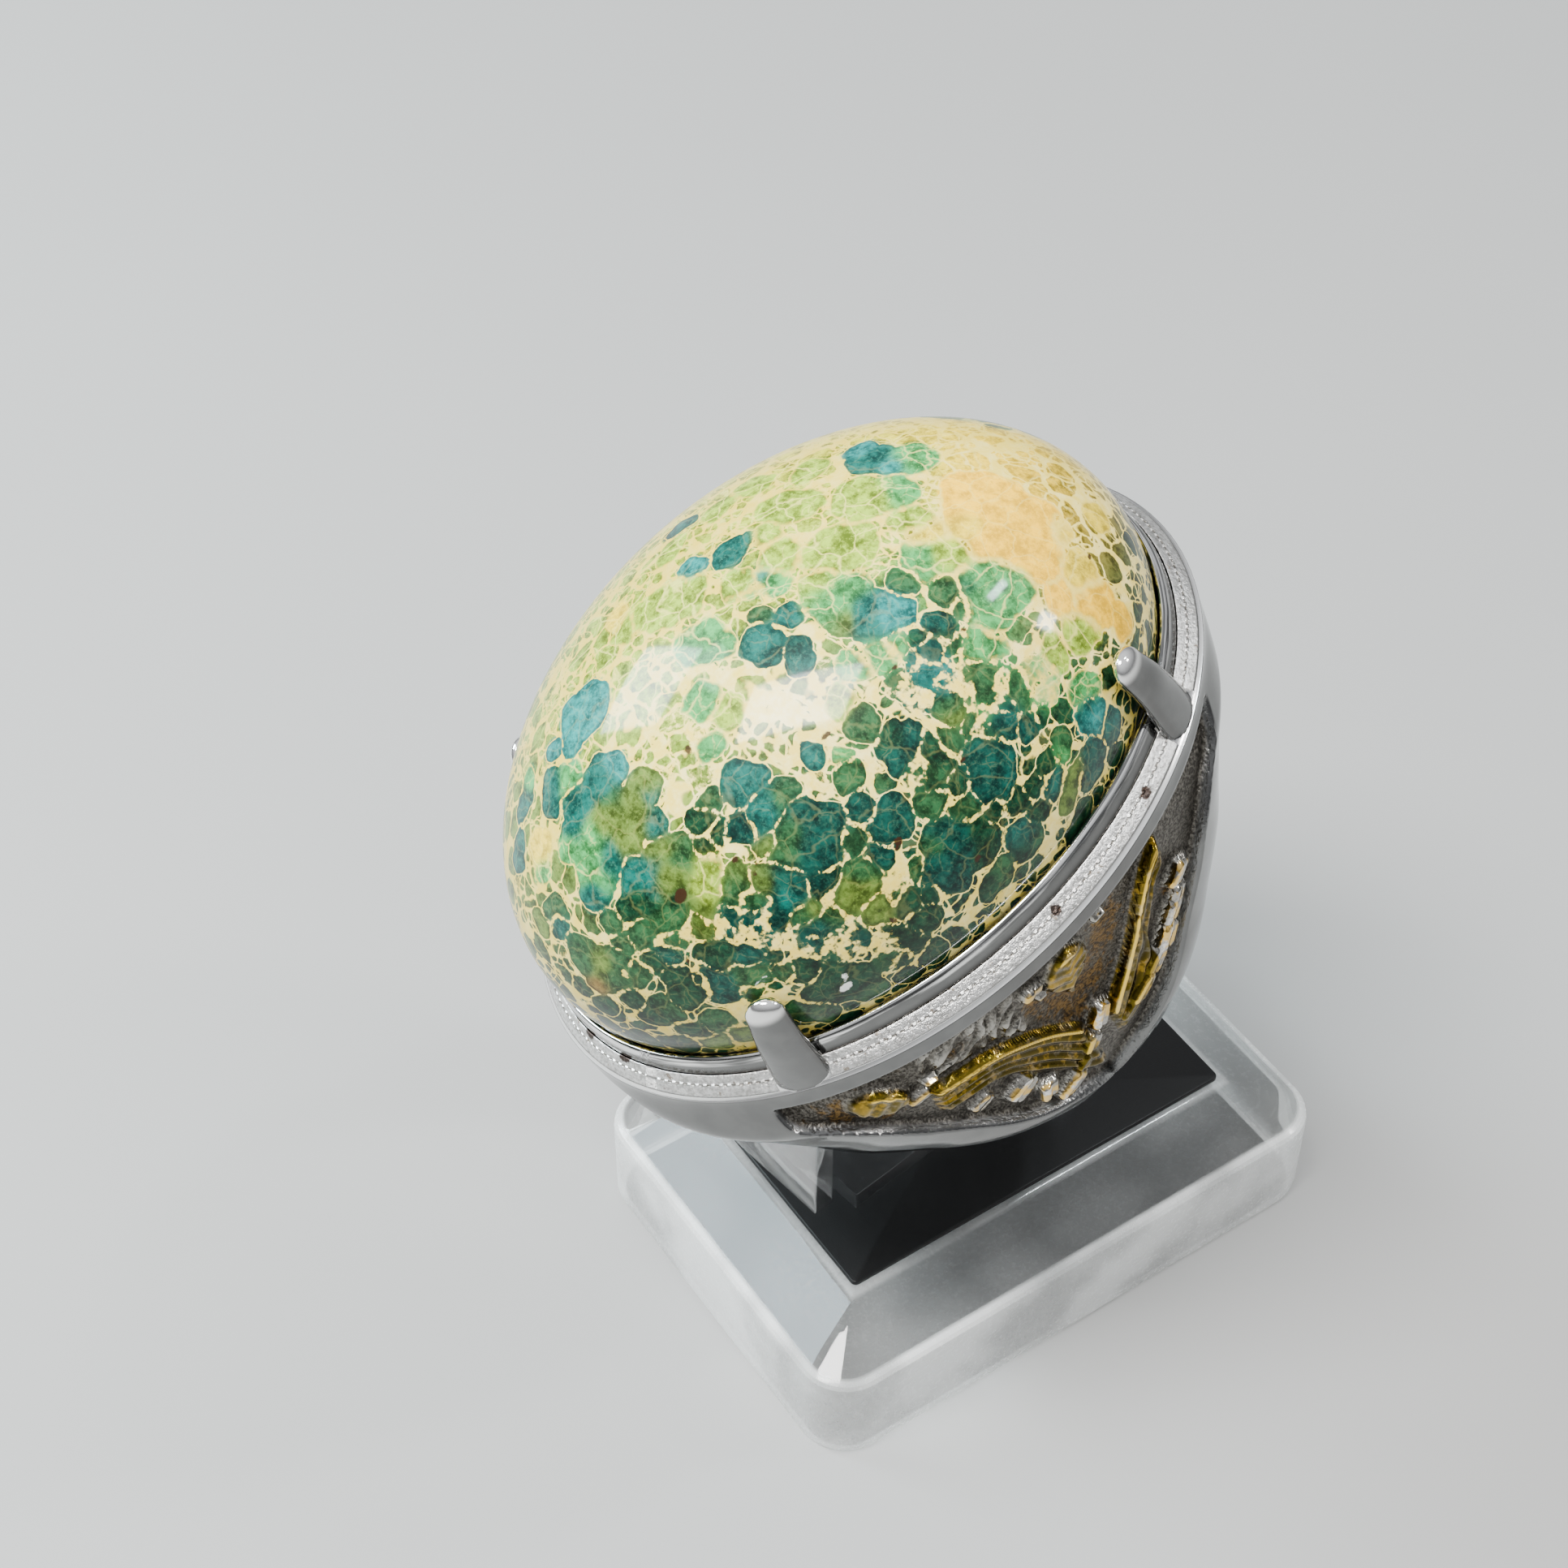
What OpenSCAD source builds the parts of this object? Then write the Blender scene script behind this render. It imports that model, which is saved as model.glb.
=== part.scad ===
// A large oval cabochon ring with four claws and cast relief shoulders, hung on a clear
// display stand. All sizes are in millimetres.
// The origin is the middle of the stand's underside, +X runs along its long side, +Z is up.
// The ring's own frame has its origin in the middle of the finger hole: its X runs across
// the finger, its Y along the finger and its Z out through the stone.

/* [Band] */
// Radius of the finger hole
hole_r = 9.5; // [9.3:0.1:9.6]
// Outside radius of the band below the shoulders
band_r = 11.8; // [11.6:0.1:12]
// How far the band sits off the middle of the head, along the finger
band_offset = 0.6; // [0:0.1:0.7]
// How square the band's section is, 2 being an oval
band_square = 4; // [3:0.5:5]

/* [Head] */
// Height of the ledge's outer edge above the middle of the finger hole
ledge_z = 10.6; // [10.5:0.1:10.8]
// Half of the ledge's length, along the finger
ledge_half_length = 17.8; // [17.7:0.1:18]
// Half of the ledge's width, across the finger
ledge_half_width = 14; // [13.9:0.1:14.2]
// How far the collar round the stone stands above the ledge's outer edge
collar_rise = 2; // [1.9:0.1:2.2]
// Width of ledge and collar together
collar_width = 1.42; // [1.4:0.01:1.44]

/* [Shoulder panels] */
// Depth of the sunk panel in each shoulder
panel_depth = 0.8; // [0.6:0.1:0.9]
// Height of the plain rim left between a panel and the ledge
panel_rim = 0.9; // [0.8:0.1:1.1]
// Width of the plain border left on each side of a panel
panel_border = 4.5; // [4.3:0.1:4.8]
// Height of the raised ribs, lobes, leaf and beads above the sunk ground
relief_height = 0.75; // [0.5:0.05:0.8]

/* [Stone] */
// Half of the stone's length
stone_half_length = 16.55; // [16.4:0.05:16.55]
// Half of the stone's width
stone_half_width = 12.6; // [12.5:0.05:12.6]
// Height of the stone's widest line above the ledge's outer edge
stone_widest = 3.7; // [3.5:0.1:3.9]
// Height of the dome above the widest line
stone_dome = 10.87; // [10:0.01:11]

/* [Claws] */
// Height of a claw above the ledge's outer edge
claw_height = 6.4; // [6:0.1:6.6]
// Width of a claw where it leaves the ledge
claw_root_width = 2.7; // [2.4:0.1:2.8]
// Width of a claw's rounded tip
claw_tip_width = 1.7; // [1.5:0.1:1.8]
// Thickness of a claw towards the stone
claw_thickness = 1.14; // [1:0.02:1.16]
// How far a claw leans sideways, towards the middle of the ring's side
claw_lean = 0.8; // [0.4:0.1:1]
// Direction of a claw on the ledge oval, from the oval's width
claw_angle = 40.5; // [38:0.5:43]

/* [Stand] */
// Length of the base
base_length = 31.6; // [30:0.2:34]
// Width of the base
base_width = 22; // [21:0.2:24]
// Height of the base's upright sides
base_side = 5.75; // [5:0.25:6.5]
// Width of the sloping edge round the flat top
bevel_width = 4.1; // [3.6:0.1:4.4]
// How far the sloping edge rises
bevel_rise = 1.9; // [1.6:0.1:2.2]
// Radius of the base's upright corners
corner_r = 2.6; // [2:0.2:3]
// Thickness of the dark pad on the flat top
pad_thickness = 0.3; // [0.2:0.1:0.4]

/* [Clip] */
// Outside radius of the clear clip's bends
clip_r = 11.4; // [11.2:0.1:11.6]
// Thickness of the clip's strip
clip_thickness = 1.2; // [1:0.1:1.3]
// Width of the clip's strip
clip_width = 6; // [5:0.5:6]
// Length of the straight foot that lies on the pad
clip_foot = 8.6; // [7:0.2:9]
// Height of the arm's free end above the pad
clip_end_lift = 2.2; // [2:0.2:3]
// How far the clip is turned on the pad, in degrees
clip_turn = 8; // [6:0.5:9]

/* [Hang] */
// How far the ring leans on the loop, in degrees from upright
lean = 25.8; // [24:0.1:27]
// How far the ring is turned about the finger hole, in degrees
turn = 7.7; // [5:0.1:9]
// How far the ring is turned about the upright, in degrees
swing = 2.7; // [0:0.1:3]

/* [Hidden] */

base_height = base_side + bevel_rise;
pad_top = base_height + pad_thickness;
// Gap between pad and clip, and the strip of flat top left bare round the pad
pad_gap = 0.05;
pad_margin = 0.1;
// Middle of the finger hole, from the middle of the base's top
hang_x = -1.3;
hang_y = 0.25;
hang_z = 16.84;
hang = [hang_x, hang_y, base_height + hang_z];
// The clip's top bend touches a line this far above the middle of the finger hole, and stays
// clear of the band by these small steps
hang_reach = 8.55;
clip_back = 0.8;
clip_drop = 0.35;
clip_x = hang_x + (clip_r - hang_reach) * sin(lean) - clip_back;
clip_y = 1;
clip_z = hang[2] - (clip_r - hang_reach) * cos(lean) - clip_drop;

// Points along each side and each end of a level of the body
side_steps = 32;
end_steps = 8;
// Share of the half length at which a side turns into an end
corner_share = 0.93;

// Rows of the band and head seen from the side: height, half length along the finger
side_profile = [
    [-11.8, 3.0], [-8.5, 4.0], [-5.5, 5.3], [-2.5, 8.6], [0.5, 11.1],
    [3.0, 12.9], [5.0, 14.2], [6.8, 15.8], [8.2, 17.3], [10.6, 17.8]
];
// Rows of how far the levels sit off the head's middle: height, share of the band's offset
offset_profile = [[-11.8, 1], [4, 1], [8.2, 0.75], [9.6, 0.3], [10.6, 0]];
// Height over which the walls spread from the band to the ledge
spread_height = 11;
// Height over which an oval section turns into the band's squarer one
square_height = 9.5;

// Rows of ledge and collar: distance in from the ledge's edge, height above it
ledge_rows = [
    [0.06, 0.02], [0.16, 0.16], [0.52, 0.62], [0.56, 0.60], [0.84, 0.96], [0.92, 0.93],
    [0.96, 1.25], [1.02, 1.70], [1.14, 1.94], [1.28, 2.00], [1.38, 1.93], [1.42, 1.80]
];
// Height of the stone's seat above the ledge's outer edge, and the stone's gap to it
seat_floor = 0.5;
stone_gap = 0.1;

// Smooth step from 0 to 1
function ease(t) = let (c = min(max(t, 0), 1)) c * c * (3 - 2 * c);

// Smooth curve through the rows of a table of [x, value]
function row_slope(table, i) =
    let (a = max(i - 1, 0), b = min(i + 1, len(table) - 1))
    (table[b][1] - table[a][1]) / (table[b][0] - table[a][0]);
function row_at(table, x, i = 0) =
    i >= len(table) - 2 || x < table[i + 1][0] ? i : row_at(table, x, i + 1);
function curve(table, x) =
    let (
        i = row_at(table, x),
        span = table[i + 1][0] - table[i][0],
        t = min(max((x - table[i][0]) / span, 0), 1)
    )
    (2 * t * t * t - 3 * t * t + 1) * table[i][1]
    + (t * t * t - 2 * t * t + t) * span * row_slope(table, i)
    + (3 * t * t - 2 * t * t * t) * table[i + 1][1]
    + (t * t * t - t * t) * span * row_slope(table, i + 1);

// Outline of the band and head at a height
function half_length(z) = curve(side_profile, z);
function half_width(z) =
    z < 0 ? sqrt(band_r * band_r - z * z)
          : band_r + (ledge_half_width - band_r) * ease(z / spread_height) / ease(ledge_z / spread_height);
function squareness(z) = 2 + (band_square - 2) * ease((ledge_z - z) / square_height);
function level_shift(z) = -band_offset * curve(offset_profile, z);

// The body's rows: round the band, up to the wings' top edge, on to the panel's top and up to
// the ledge. They rise with the wings, so that each raised rib follows one row.
low_heights = [for (g = [3, 12, 21, 30.5]) -band_r * cos(g)];
low_count = len(low_heights);
low_top = -9;
// Rows from the band up to the wings' top edge, and from there to the panel's top
wing_rows = 20;
field_rows = 8;
edge_row = low_count + wing_rows;
panel_row = edge_row + field_rows;
// Height of the panel's sloping top edge, and width of its other edges
panel_slope = 0.3;
panel_fade = 0.7;
rim_low = ledge_z - panel_rim;
panel_top = rim_low - 0.28;
rim_heights = [rim_low, rim_low + 0.2, ledge_z - 0.12];
row_count = panel_row + 1 + len(rim_heights);

// Height of the wings' top edge at a share v of the half length: it rises from the middle at
// wing_low by wing_rise at wing_reach, a little bent, and is cut off at wing_high
wing_low = 1.4;
wing_rise = 7.9;
wing_reach = 0.5;
wing_bend = 0.85;
wing_high = 8.6;
function wing_edge(v) = min(wing_low + wing_rise * pow(abs(v) / wing_reach, wing_bend), wing_high);
function row_height(j, v) =
    j < low_count ? low_heights[j]
    : j <= edge_row ? low_top + (wing_edge(v) - low_top) * (j - low_count) / wing_rows
    : j <= panel_row ? wing_edge(v) + (panel_top - wing_edge(v)) * (j - edge_row) / field_rows
    : rim_heights[j - panel_row - 1];

// Relief over the sunk ground, from 0 to 1: ribbed wings, their lobes, a leaf and two rows of
// beads. A wing has a rib on every other row under its top edge, between two shares of the half
// length, with a low groove between the ribs.
rib_rows = 10;
groove = 0.3;
wing_start = 0.03;
wing_end = 0.66;
wing_fade = 0.06;
function wing_relief(m, v) =
    m < 1 || m > rib_rows ? 0
    : (m % 2 == 1 ? 1 : groove) * ease((abs(v) - wing_start) / wing_fade)
      * ease((wing_end - abs(v)) / wing_fade);
// A lobe is a round lump: its place [share of the half length, height] and its size in both
lobe_place = [0.62, 7.3];
lobe_size = [0.07, 1.5];
function lobe_relief(v, z) =
    ease(1.6 - norm([(abs(v) - lobe_place[0]) / lobe_size[0], (z - lobe_place[1]) / lobe_size[1]]));
// The leaf is pointed at both ends and stands between two heights, a little off the middle
leaf_low = 4.6;
leaf_length = 4.6;
leaf_half = 1.3;
leaf_y = 0.6;
leaf_fade = 0.6;
function leaf_outline(z) = leaf_half * sin(180 * min(max((z - leaf_low) / leaf_length, 0), 1));
function leaf_relief(y, z) = ease((leaf_outline(z) - abs(y - leaf_y)) / leaf_fade + 0.5);
// Beads stand on every other point of two rows
bead_rows = [12, 15];
bead_share = 0.8;
function bead_relief(m, i) = len(search(m, bead_rows)) > 0 && i % 2 == 1 ? bead_share : 0;
function relief(j, i, v, z) =
    relief_height * max(
        wing_relief(edge_row - j, v), lobe_relief(v, z), leaf_relief(half_length(z) * v, z),
        bead_relief(edge_row - j, i)
    );

// How far a point of a shoulder lies below its plain outline
function inside(y, z) =
    min((half_length(z) - panel_border - abs(y)) / panel_fade, (rim_low - z) / panel_slope);
function sunk(j, i, v, z) =
    let (t = ease(inside(half_length(z) * v, z)))
    t == 0 ? 0 : t * (panel_depth - relief(j, i, v, z));

// One closed row of the body: along a side, round an end, and the same again half a turn on
function side_run(j, s) =
    [
        for (i = [0:side_steps - 1])
            let (
                v = corner_share * (2 * i / side_steps - 1),
                z = row_height(j, v),
                n = squareness(z)
            )
            [
                s * (half_width(z) * pow(1 - pow(abs(v), n), 1 / n) - sunk(j, i, v, z)),
                s * half_length(z) * v + level_shift(z),
                z
            ]
    ];
function end_run(j, s) =
    let (
        z = row_height(j, corner_share),
        a = half_width(z), b = half_length(z), n = squareness(z), dy = level_shift(z),
        corner_x = a * pow(1 - pow(corner_share, n), 1 / n)
    )
    [
        for (i = [0:end_steps - 1])
            let (x = corner_x * (1 - 2 * i / end_steps))
            [s * x, s * b * pow(1 - pow(abs(x) / a, n), 1 / n) + dy, z]
    ];
function body_row(j) = concat(side_run(j, 1), end_run(j, 1), side_run(j, -1), end_run(j, -1));
// One closed oval of ledge, collar or seat
function oval_level(inset, z) =
    let (
        a = ledge_half_width - inset, b = ledge_half_length - inset,
        corner_x = a * sqrt(1 - corner_share * corner_share)
    )
    [
        for (s = [1, -1])
            each concat(
                [
                    for (i = [0:side_steps - 1])
                        let (v = corner_share * (2 * i / side_steps - 1))
                        [s * a * sqrt(1 - v * v), s * b * v, z]
                ],
                [
                    for (i = [0:end_steps - 1])
                        let (x = corner_x * (1 - 2 * i / end_steps))
                        [s * x, s * b * sqrt(1 - x * x / a / a), z]
                ]
            )
    ];

// Closed solid through a list of levels that all have the same number of points
module stack(levels) {
    count = len(levels[0]);
    rows = len(levels);
    points = concat(
        [for (l = levels) each l],
        [for (l = [levels[0], levels[rows - 1]]) (l[0] + l[count / 2]) / 2]
    );
    faces = concat(
        [
            for (r = [0:rows - 2], i = [0:count - 1])
                let (a = r * count + i, b = r * count + (i + 1) % count)
                each [[a, a + count, b], [b, a + count, b + count]]
        ],
        [for (i = [0:count - 1]) [rows * count, i, (i + 1) % count]],
        [
            for (i = [0:count - 1])
                [rows * count + 1, (rows - 1) * count + (i + 1) % count, (rows - 1) * count + i]
        ]
    );
    polyhedron(points = points, faces = faces);
}

module ring_blank() {
    stack(concat(
        [for (j = [0:row_count - 1]) body_row(j)],
        [oval_level(0, ledge_z)],
        [for (r = ledge_rows) oval_level(r[0], ledge_z + r[1] * collar_rise / 2)],
        [oval_level(collar_width, ledge_z + seat_floor)]
    ));
}

// A claw is a stack of ovals on a line that bends in over the stone and leans sideways. The line
// starts claw_inset inside the ledge's edge and bends in by claw_hook between two heights.
claw_sides = 16;
claw_inset = 0.62;
claw_hook = 0.23;
hook_start = 3.2;
hook_height = 2.6;
lean_bend = 1.3;
tip_thinning = 0.05;
function claw_centre(h) = claw_inset + claw_hook * ease((h - hook_start) / hook_height);
function claw_half(h, root, tip, top) =
    let (c = min(max((h - claw_height + top) / top, 0), 1))
    (root + (tip - root) * h / claw_height) * sqrt(max(1 - c * c, 0.03));
module claw(sx, sy) {
    foot = [ledge_half_width * cos(claw_angle), ledge_half_length * sin(claw_angle)];
    steep = -[foot[0] / pow(ledge_half_width, 2), foot[1] / pow(ledge_half_length, 2)];
    n = steep / norm(steep);
    side = [-n[1], n[0]];
    top = claw_tip_width / 2;
    heights = concat([-0.4, 0.5, 1.8, 3.1, 4.3], [for (g = [0:18:90]) claw_height - top * (1 - sin(g))]);
    stack([
        for (h = heights)
            let (
                lift = max(h, 0),
                c = foot + n * claw_centre(lift) + side * claw_lean * pow(lift / claw_height, lean_bend),
                w = claw_half(lift, claw_root_width / 2, claw_tip_width / 2, top),
                t = claw_half(lift, claw_thickness / 2, claw_thickness / 2 - tip_thinning, top)
            )
            [
                for (i = [0:claw_sides - 1])
                    let (
                        g = sx * sy * 360 * i / claw_sides,
                        p = c + n * t * cos(g) + side * w * sin(g)
                    )
                    [sx * p[0], sy * p[1], ledge_z + h]
            ]
    ]);
}

// Puts a piece of the ring where it hangs on the clip
module hung() {
    translate(hang) rotate([0, 0, swing]) rotate([0, -lean, 0]) rotate([-turn, 0, 0]) rotate([0, 0, -90])
        children();
}

module ring_body() {
    color("silver") hung() {
        difference() {
            union() {
                ring_blank();
                for (sx = [1, -1], sy = [1, -1]) claw(sx, sy);
            }
            rotate([90, 0, 0]) cylinder(r = hole_r, h = 3 * ledge_half_length, center = true, $fn = 96);
        }
    }
}

// The stone is half an egg of revolved ovals, cut flat where it sits in its seat
stone_sides = 72;
module stone() {
    bottom = seat_floor + stone_gap - stone_widest;
    angles = concat([asin(bottom / stone_dome)], [for (g = [-10:5:85]) g], [88]);
    color("darkseagreen") hung()
        stack([
            for (g = angles)
                [
                    for (i = [0:stone_sides - 1])
                        let (t = 360 * i / stone_sides)
                        [
                            stone_half_width * cos(g) * cos(t),
                            stone_half_length * cos(g) * sin(t),
                            ledge_z + stone_widest + stone_dome * sin(g)
                        ]
                ]
        ]);
}

// Side view of the base as an outline: upright sides and a sloping edge round the flat top
module base_outline(size) {
    polygon([
        [-size / 2, 0], [size / 2, 0], [size / 2, base_side],
        [size / 2 - bevel_width, base_height], [bevel_width - size / 2, base_height],
        [-size / 2, base_side]
    ]);
}

module stand_base() {
    color("lightcyan", 0.4) intersection() {
        rotate([90, 0, 0]) linear_extrude(2 * base_width, center = true) base_outline(base_length);
        rotate([90, 0, 90]) linear_extrude(2 * base_length, center = true) base_outline(base_width);
        linear_extrude(base_height) {
            square([base_length - 2 * corner_r, base_width], center = true);
            square([base_length, base_width - 2 * corner_r], center = true);
            for (sx = [1, -1], sy = [1, -1])
                translate([sx * (base_length / 2 - corner_r), sy * (base_width / 2 - corner_r)])
                    circle(corner_r, $fn = 48);
        }
    }
}

module stand_pad() {
    edge = bevel_width + pad_margin;
    size = [base_length - 2 * edge, base_width - 2 * edge, pad_thickness - pad_gap];
    color("black") translate([-size[0] / 2, -size[1] / 2, base_height]) cube(size);
}

// The clip's strip seen from its side: a foot on the pad, two bends and a free arm
module strip_outline() {
    bottom = pad_top + clip_r;
    inner_r = clip_r - clip_thickness;
    difference() {
        union() {
            translate([0, clip_z]) circle(clip_r, $fn = 128);
            translate([0, bottom]) circle(clip_r, $fn = 128);
            translate([-clip_r, bottom]) square([2 * clip_r, clip_z - bottom]);
        }
        translate([0, clip_z]) circle(inner_r, $fn = 128);
        translate([0, bottom]) circle(inner_r, $fn = 128);
        translate([-inner_r, bottom]) square([2 * inner_r, clip_z - bottom]);
        translate([-2 * clip_r, 0]) square([2 * clip_r, clip_z]);
    }
    translate([-clip_r, pad_top + clip_end_lift])
        square([clip_thickness, clip_z - pad_top - clip_end_lift + 0.5]);
    translate([-clip_foot, pad_top]) square([clip_foot + 0.5, clip_thickness]);
}

module ring_clip() {
    color("white", 0.4) translate([clip_x, clip_y, 0]) rotate([0, 0, clip_turn]) rotate([90, 0, 0])
        linear_extrude(clip_width, center = true) strip_outline();
}

ring_body();
stone();
stand_base();
stand_pad();
ring_clip();
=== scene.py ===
"""An oval cabochon ring in silver, hung on the clear clip of a small display stand.

Lengths in the tables and formulas are millimetres; mesh() turns them to metres. The ring's own
frame has its origin in the middle of the finger hole: x across the finger, y along it and z out
through the stone. The stand's frame is the scene's own.
"""
import math

import bpy
import numpy as np
from mathutils import Matrix, Vector


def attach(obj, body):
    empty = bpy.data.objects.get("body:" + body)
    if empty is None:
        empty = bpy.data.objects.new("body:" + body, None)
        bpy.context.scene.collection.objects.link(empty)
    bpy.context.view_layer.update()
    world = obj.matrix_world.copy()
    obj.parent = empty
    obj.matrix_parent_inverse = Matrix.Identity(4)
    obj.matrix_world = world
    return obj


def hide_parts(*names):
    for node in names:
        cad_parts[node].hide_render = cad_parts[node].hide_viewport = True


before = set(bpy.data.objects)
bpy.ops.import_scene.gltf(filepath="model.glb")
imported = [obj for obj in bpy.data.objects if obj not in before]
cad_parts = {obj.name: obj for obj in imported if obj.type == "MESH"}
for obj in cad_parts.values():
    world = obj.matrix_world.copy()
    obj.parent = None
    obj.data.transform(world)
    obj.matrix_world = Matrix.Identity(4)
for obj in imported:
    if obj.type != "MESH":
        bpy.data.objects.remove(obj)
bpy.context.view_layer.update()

MM = 0.001

# ---------------------------------------------------------------- camera
EYE = Vector((-62.68, -76.59, 136.82)) * MM
SIGHT = Vector((0.3804, 0.566, -0.7314)).normalized()
CROWN = Vector((0.408, 0.607, 0.682))
LENS, SENSOR = 71.2, 36.0
NEAR, FAR = 0.001, 10.0


def photo_camera():
    """Camera at the photograph's angle, looking along SIGHT with CROWN upwards."""
    data = bpy.data.cameras.new("photo_camera")
    data.lens, data.sensor_width = LENS, SENSOR
    data.clip_start, data.clip_end = NEAR, FAR
    camera = bpy.data.objects.new("photo_camera", data)
    right = SIGHT.cross(CROWN).normalized()
    up = right.cross(SIGHT)
    turn = Matrix((right, up, -SIGHT)).transposed().to_4x4()
    camera.matrix_world = Matrix.Translation(EYE) @ turn
    bpy.context.scene.collection.objects.link(camera)
    bpy.context.scene.camera = camera


photo_camera()

# ---------------------------------------------------------------- sizes, as in the part
# Middle of the finger hole in the stand's frame, and the ring's turns there, in degrees
HANG = np.array([-1.3, 0.25, 24.49])
HANG_TURNS = [("z", 2.7), ("y", -25.8), ("x", -7.7), ("z", -90.0)]
# Radii of hole and band, and how far the band sits off the head's middle
HOLE_R, BAND_R, BAND_OFFSET = 9.5, 11.8, 0.6
# Heights over which the walls spread to the ledge and an oval turns into the band's section
SPREAD_HEIGHT, SQUARE_HEIGHT = 11.0, 9.5
# Outer oval of the ledge: height, half length, half width
LEDGE_Z, LEDGE_Y, LEDGE_X = 10.6, 17.8, 14.0
# Sunk panel: depth, rim left under the ledge, wall left beside it
PANEL_DEPTH, PANEL_RIM, PANEL_BORDER = 0.8, 0.9, 4.5
# Stone: half width, half length, height of the dome, height of its widest line
STONE_X, STONE_Y, STONE_Z, STONE_MID = 12.6, 16.55, 10.87, LEDGE_Z + 3.7
# Height of the seat above the ledge's edge, and the stone's gap to it
SEAT_FLOOR, STONE_GAP = 0.5, 0.1
# Claws: height, height of the rounded tip, direction on the ledge in degrees, and half width and
# half thickness at foot and tip
CLAW_HEIGHT, CLAW_TIP, CLAW_ANGLE = 6.4, 0.85, 40.5
CLAW_WIDTH, CLAW_THICK = (1.35, 0.85), (0.57, 0.52)
# Block and pad: half length, half width, corner radius, height of the top
BLOCK_X, BLOCK_Y, BLOCK_CORNER, BLOCK_TOP = 15.8, 11.0, 2.6, 7.65
PAD_X, PAD_Y, PAD_CORNER, PAD_TOP = 11.6, 6.8, 0.3, 7.9
# Clip: outside radius of the bends, thickness, width, heights of underside, top bend's middle and
# free end, length of the foot, place and turn on the pad
CLIP_R, CLIP_THICK, CLIP_WIDTH = 11.4, 1.2, 6.0
CLIP_FLOOR, CLIP_HIGH, CLIP_END, CLIP_FOOT = 7.95, 21.574, 10.15, 8.6
CLIP_PLACE, CLIP_TURN = (-0.86, 1.0, 0.0), 8.0
# Band and head from the side: height, half length along the finger
SIDE_PROFILE = np.array([
    (-11.8, 3.0), (-8.5, 4.0), (-5.5, 5.3), (-2.5, 8.6), (0.5, 11.1),
    (3.0, 12.9), (5.0, 14.2), (6.8, 15.8), (8.2, 17.3), (10.6, 17.8)])
# Height, share of the band's offset
OFFSET_PROFILE = np.array([(-11.8, 1.0), (4.0, 1.0), (8.2, 0.75), (9.6, 0.3), (10.6, 0.0)])


def turn_matrix(turns):
    """Product of plain turns about x, y and z, in degrees."""
    total = np.eye(3)
    for axis, degrees in turns:
        total = total @ np.array(Matrix.Rotation(math.radians(degrees), 3, axis.upper()))
    return total


RING_TURN = turn_matrix(HANG_TURNS)


def hung(points):
    """Points of the ring's own frame, put where the ring hangs."""
    return points @ RING_TURN.T + HANG


# ---------------------------------------------------------------- meshes
def mesh(name, points, faces, marks=None, sharp=40.0):
    """Object from points in millimetres and faces, smooth but for edges over sharp degrees."""
    data = bpy.data.meshes.new(name)
    data.from_pydata((points * MM).tolist(), [], faces)
    for mark, values in (marks or {}).items():
        kind, key = ("FLOAT", "value") if values.ndim == 1 else ("FLOAT_COLOR", "color")
        layer = data.attributes.new(mark, kind, "POINT")
        layer.data.foreach_set(key, np.ascontiguousarray(values, dtype=np.float32).ravel())
    data.update()
    data.shade_smooth()
    data.set_sharp_from_angle(angle=math.radians(sharp))
    piece = bpy.data.objects.new(name, data)
    bpy.context.scene.collection.objects.link(piece)
    return piece


def loft_faces(rows, count):
    """Faces of rows of count points each, closed round; two more points close the ends.

    Rows go round anticlockwise seen from the end that they climb to, so faces point outwards.
    """
    step = np.arange(count)
    after = (step + 1) % count
    start = np.arange(rows - 1)[:, None] * count
    quads = np.stack([start + step, start + after, start + count + after, start + count + step], -1)
    low, high, last = rows * count, rows * count + 1, (rows - 1) * count
    floor = np.stack([np.full(count, low), after, step], -1)
    crown = np.stack([np.full(count, high), last + step, last + after], -1)
    return quads.reshape(-1, 4).tolist() + floor.tolist() + crown.tolist()


def loft(levels):
    """Points of an array of levels (rows, count, 3) with the two end points, and their faces."""
    rows, count, _ = levels.shape
    ends = np.stack([levels[0].mean(0), levels[-1].mean(0)])
    return np.concatenate([levels.reshape(-1, 3), ends]), loft_faces(rows, count)


def hung_loft(name, levels, marks=None, sharp=40.0):
    """Object from levels in the ring's own frame, put where the ring hangs."""
    points, faces = loft(levels)
    return mesh(name, hung(points), faces, marks, sharp)


def ease(t):
    """Smooth step from 0 to 1: 3t^2 - 2t^3 between 0 and 1."""
    t = np.clip(t, 0.0, 1.0)
    return t * t * (3.0 - 2.0 * t)


def curve(table, x):
    """Smooth curve through rows of (x, value): cubic pieces, each slope that of its neighbours."""
    xs, ys = table.T
    last = len(xs) - 1
    before, after = np.maximum(np.arange(last + 1) - 1, 0), np.minimum(np.arange(last + 1) + 1, last)
    slopes = (ys[after] - ys[before]) / (xs[after] - xs[before])
    i = np.clip(np.searchsorted(xs, x, side="right") - 1, 0, last - 1)
    span = xs[i + 1] - xs[i]
    t = np.clip((x - xs[i]) / span, 0.0, 1.0)
    t2, t3 = t * t, t * t * t
    return ((2 * t3 - 3 * t2 + 1) * ys[i] + (t3 - 2 * t2 + t) * span * slopes[i]
            + (3 * t2 - 2 * t3) * ys[i + 1] + (t3 - t2) * span * slopes[i + 1])


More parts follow.
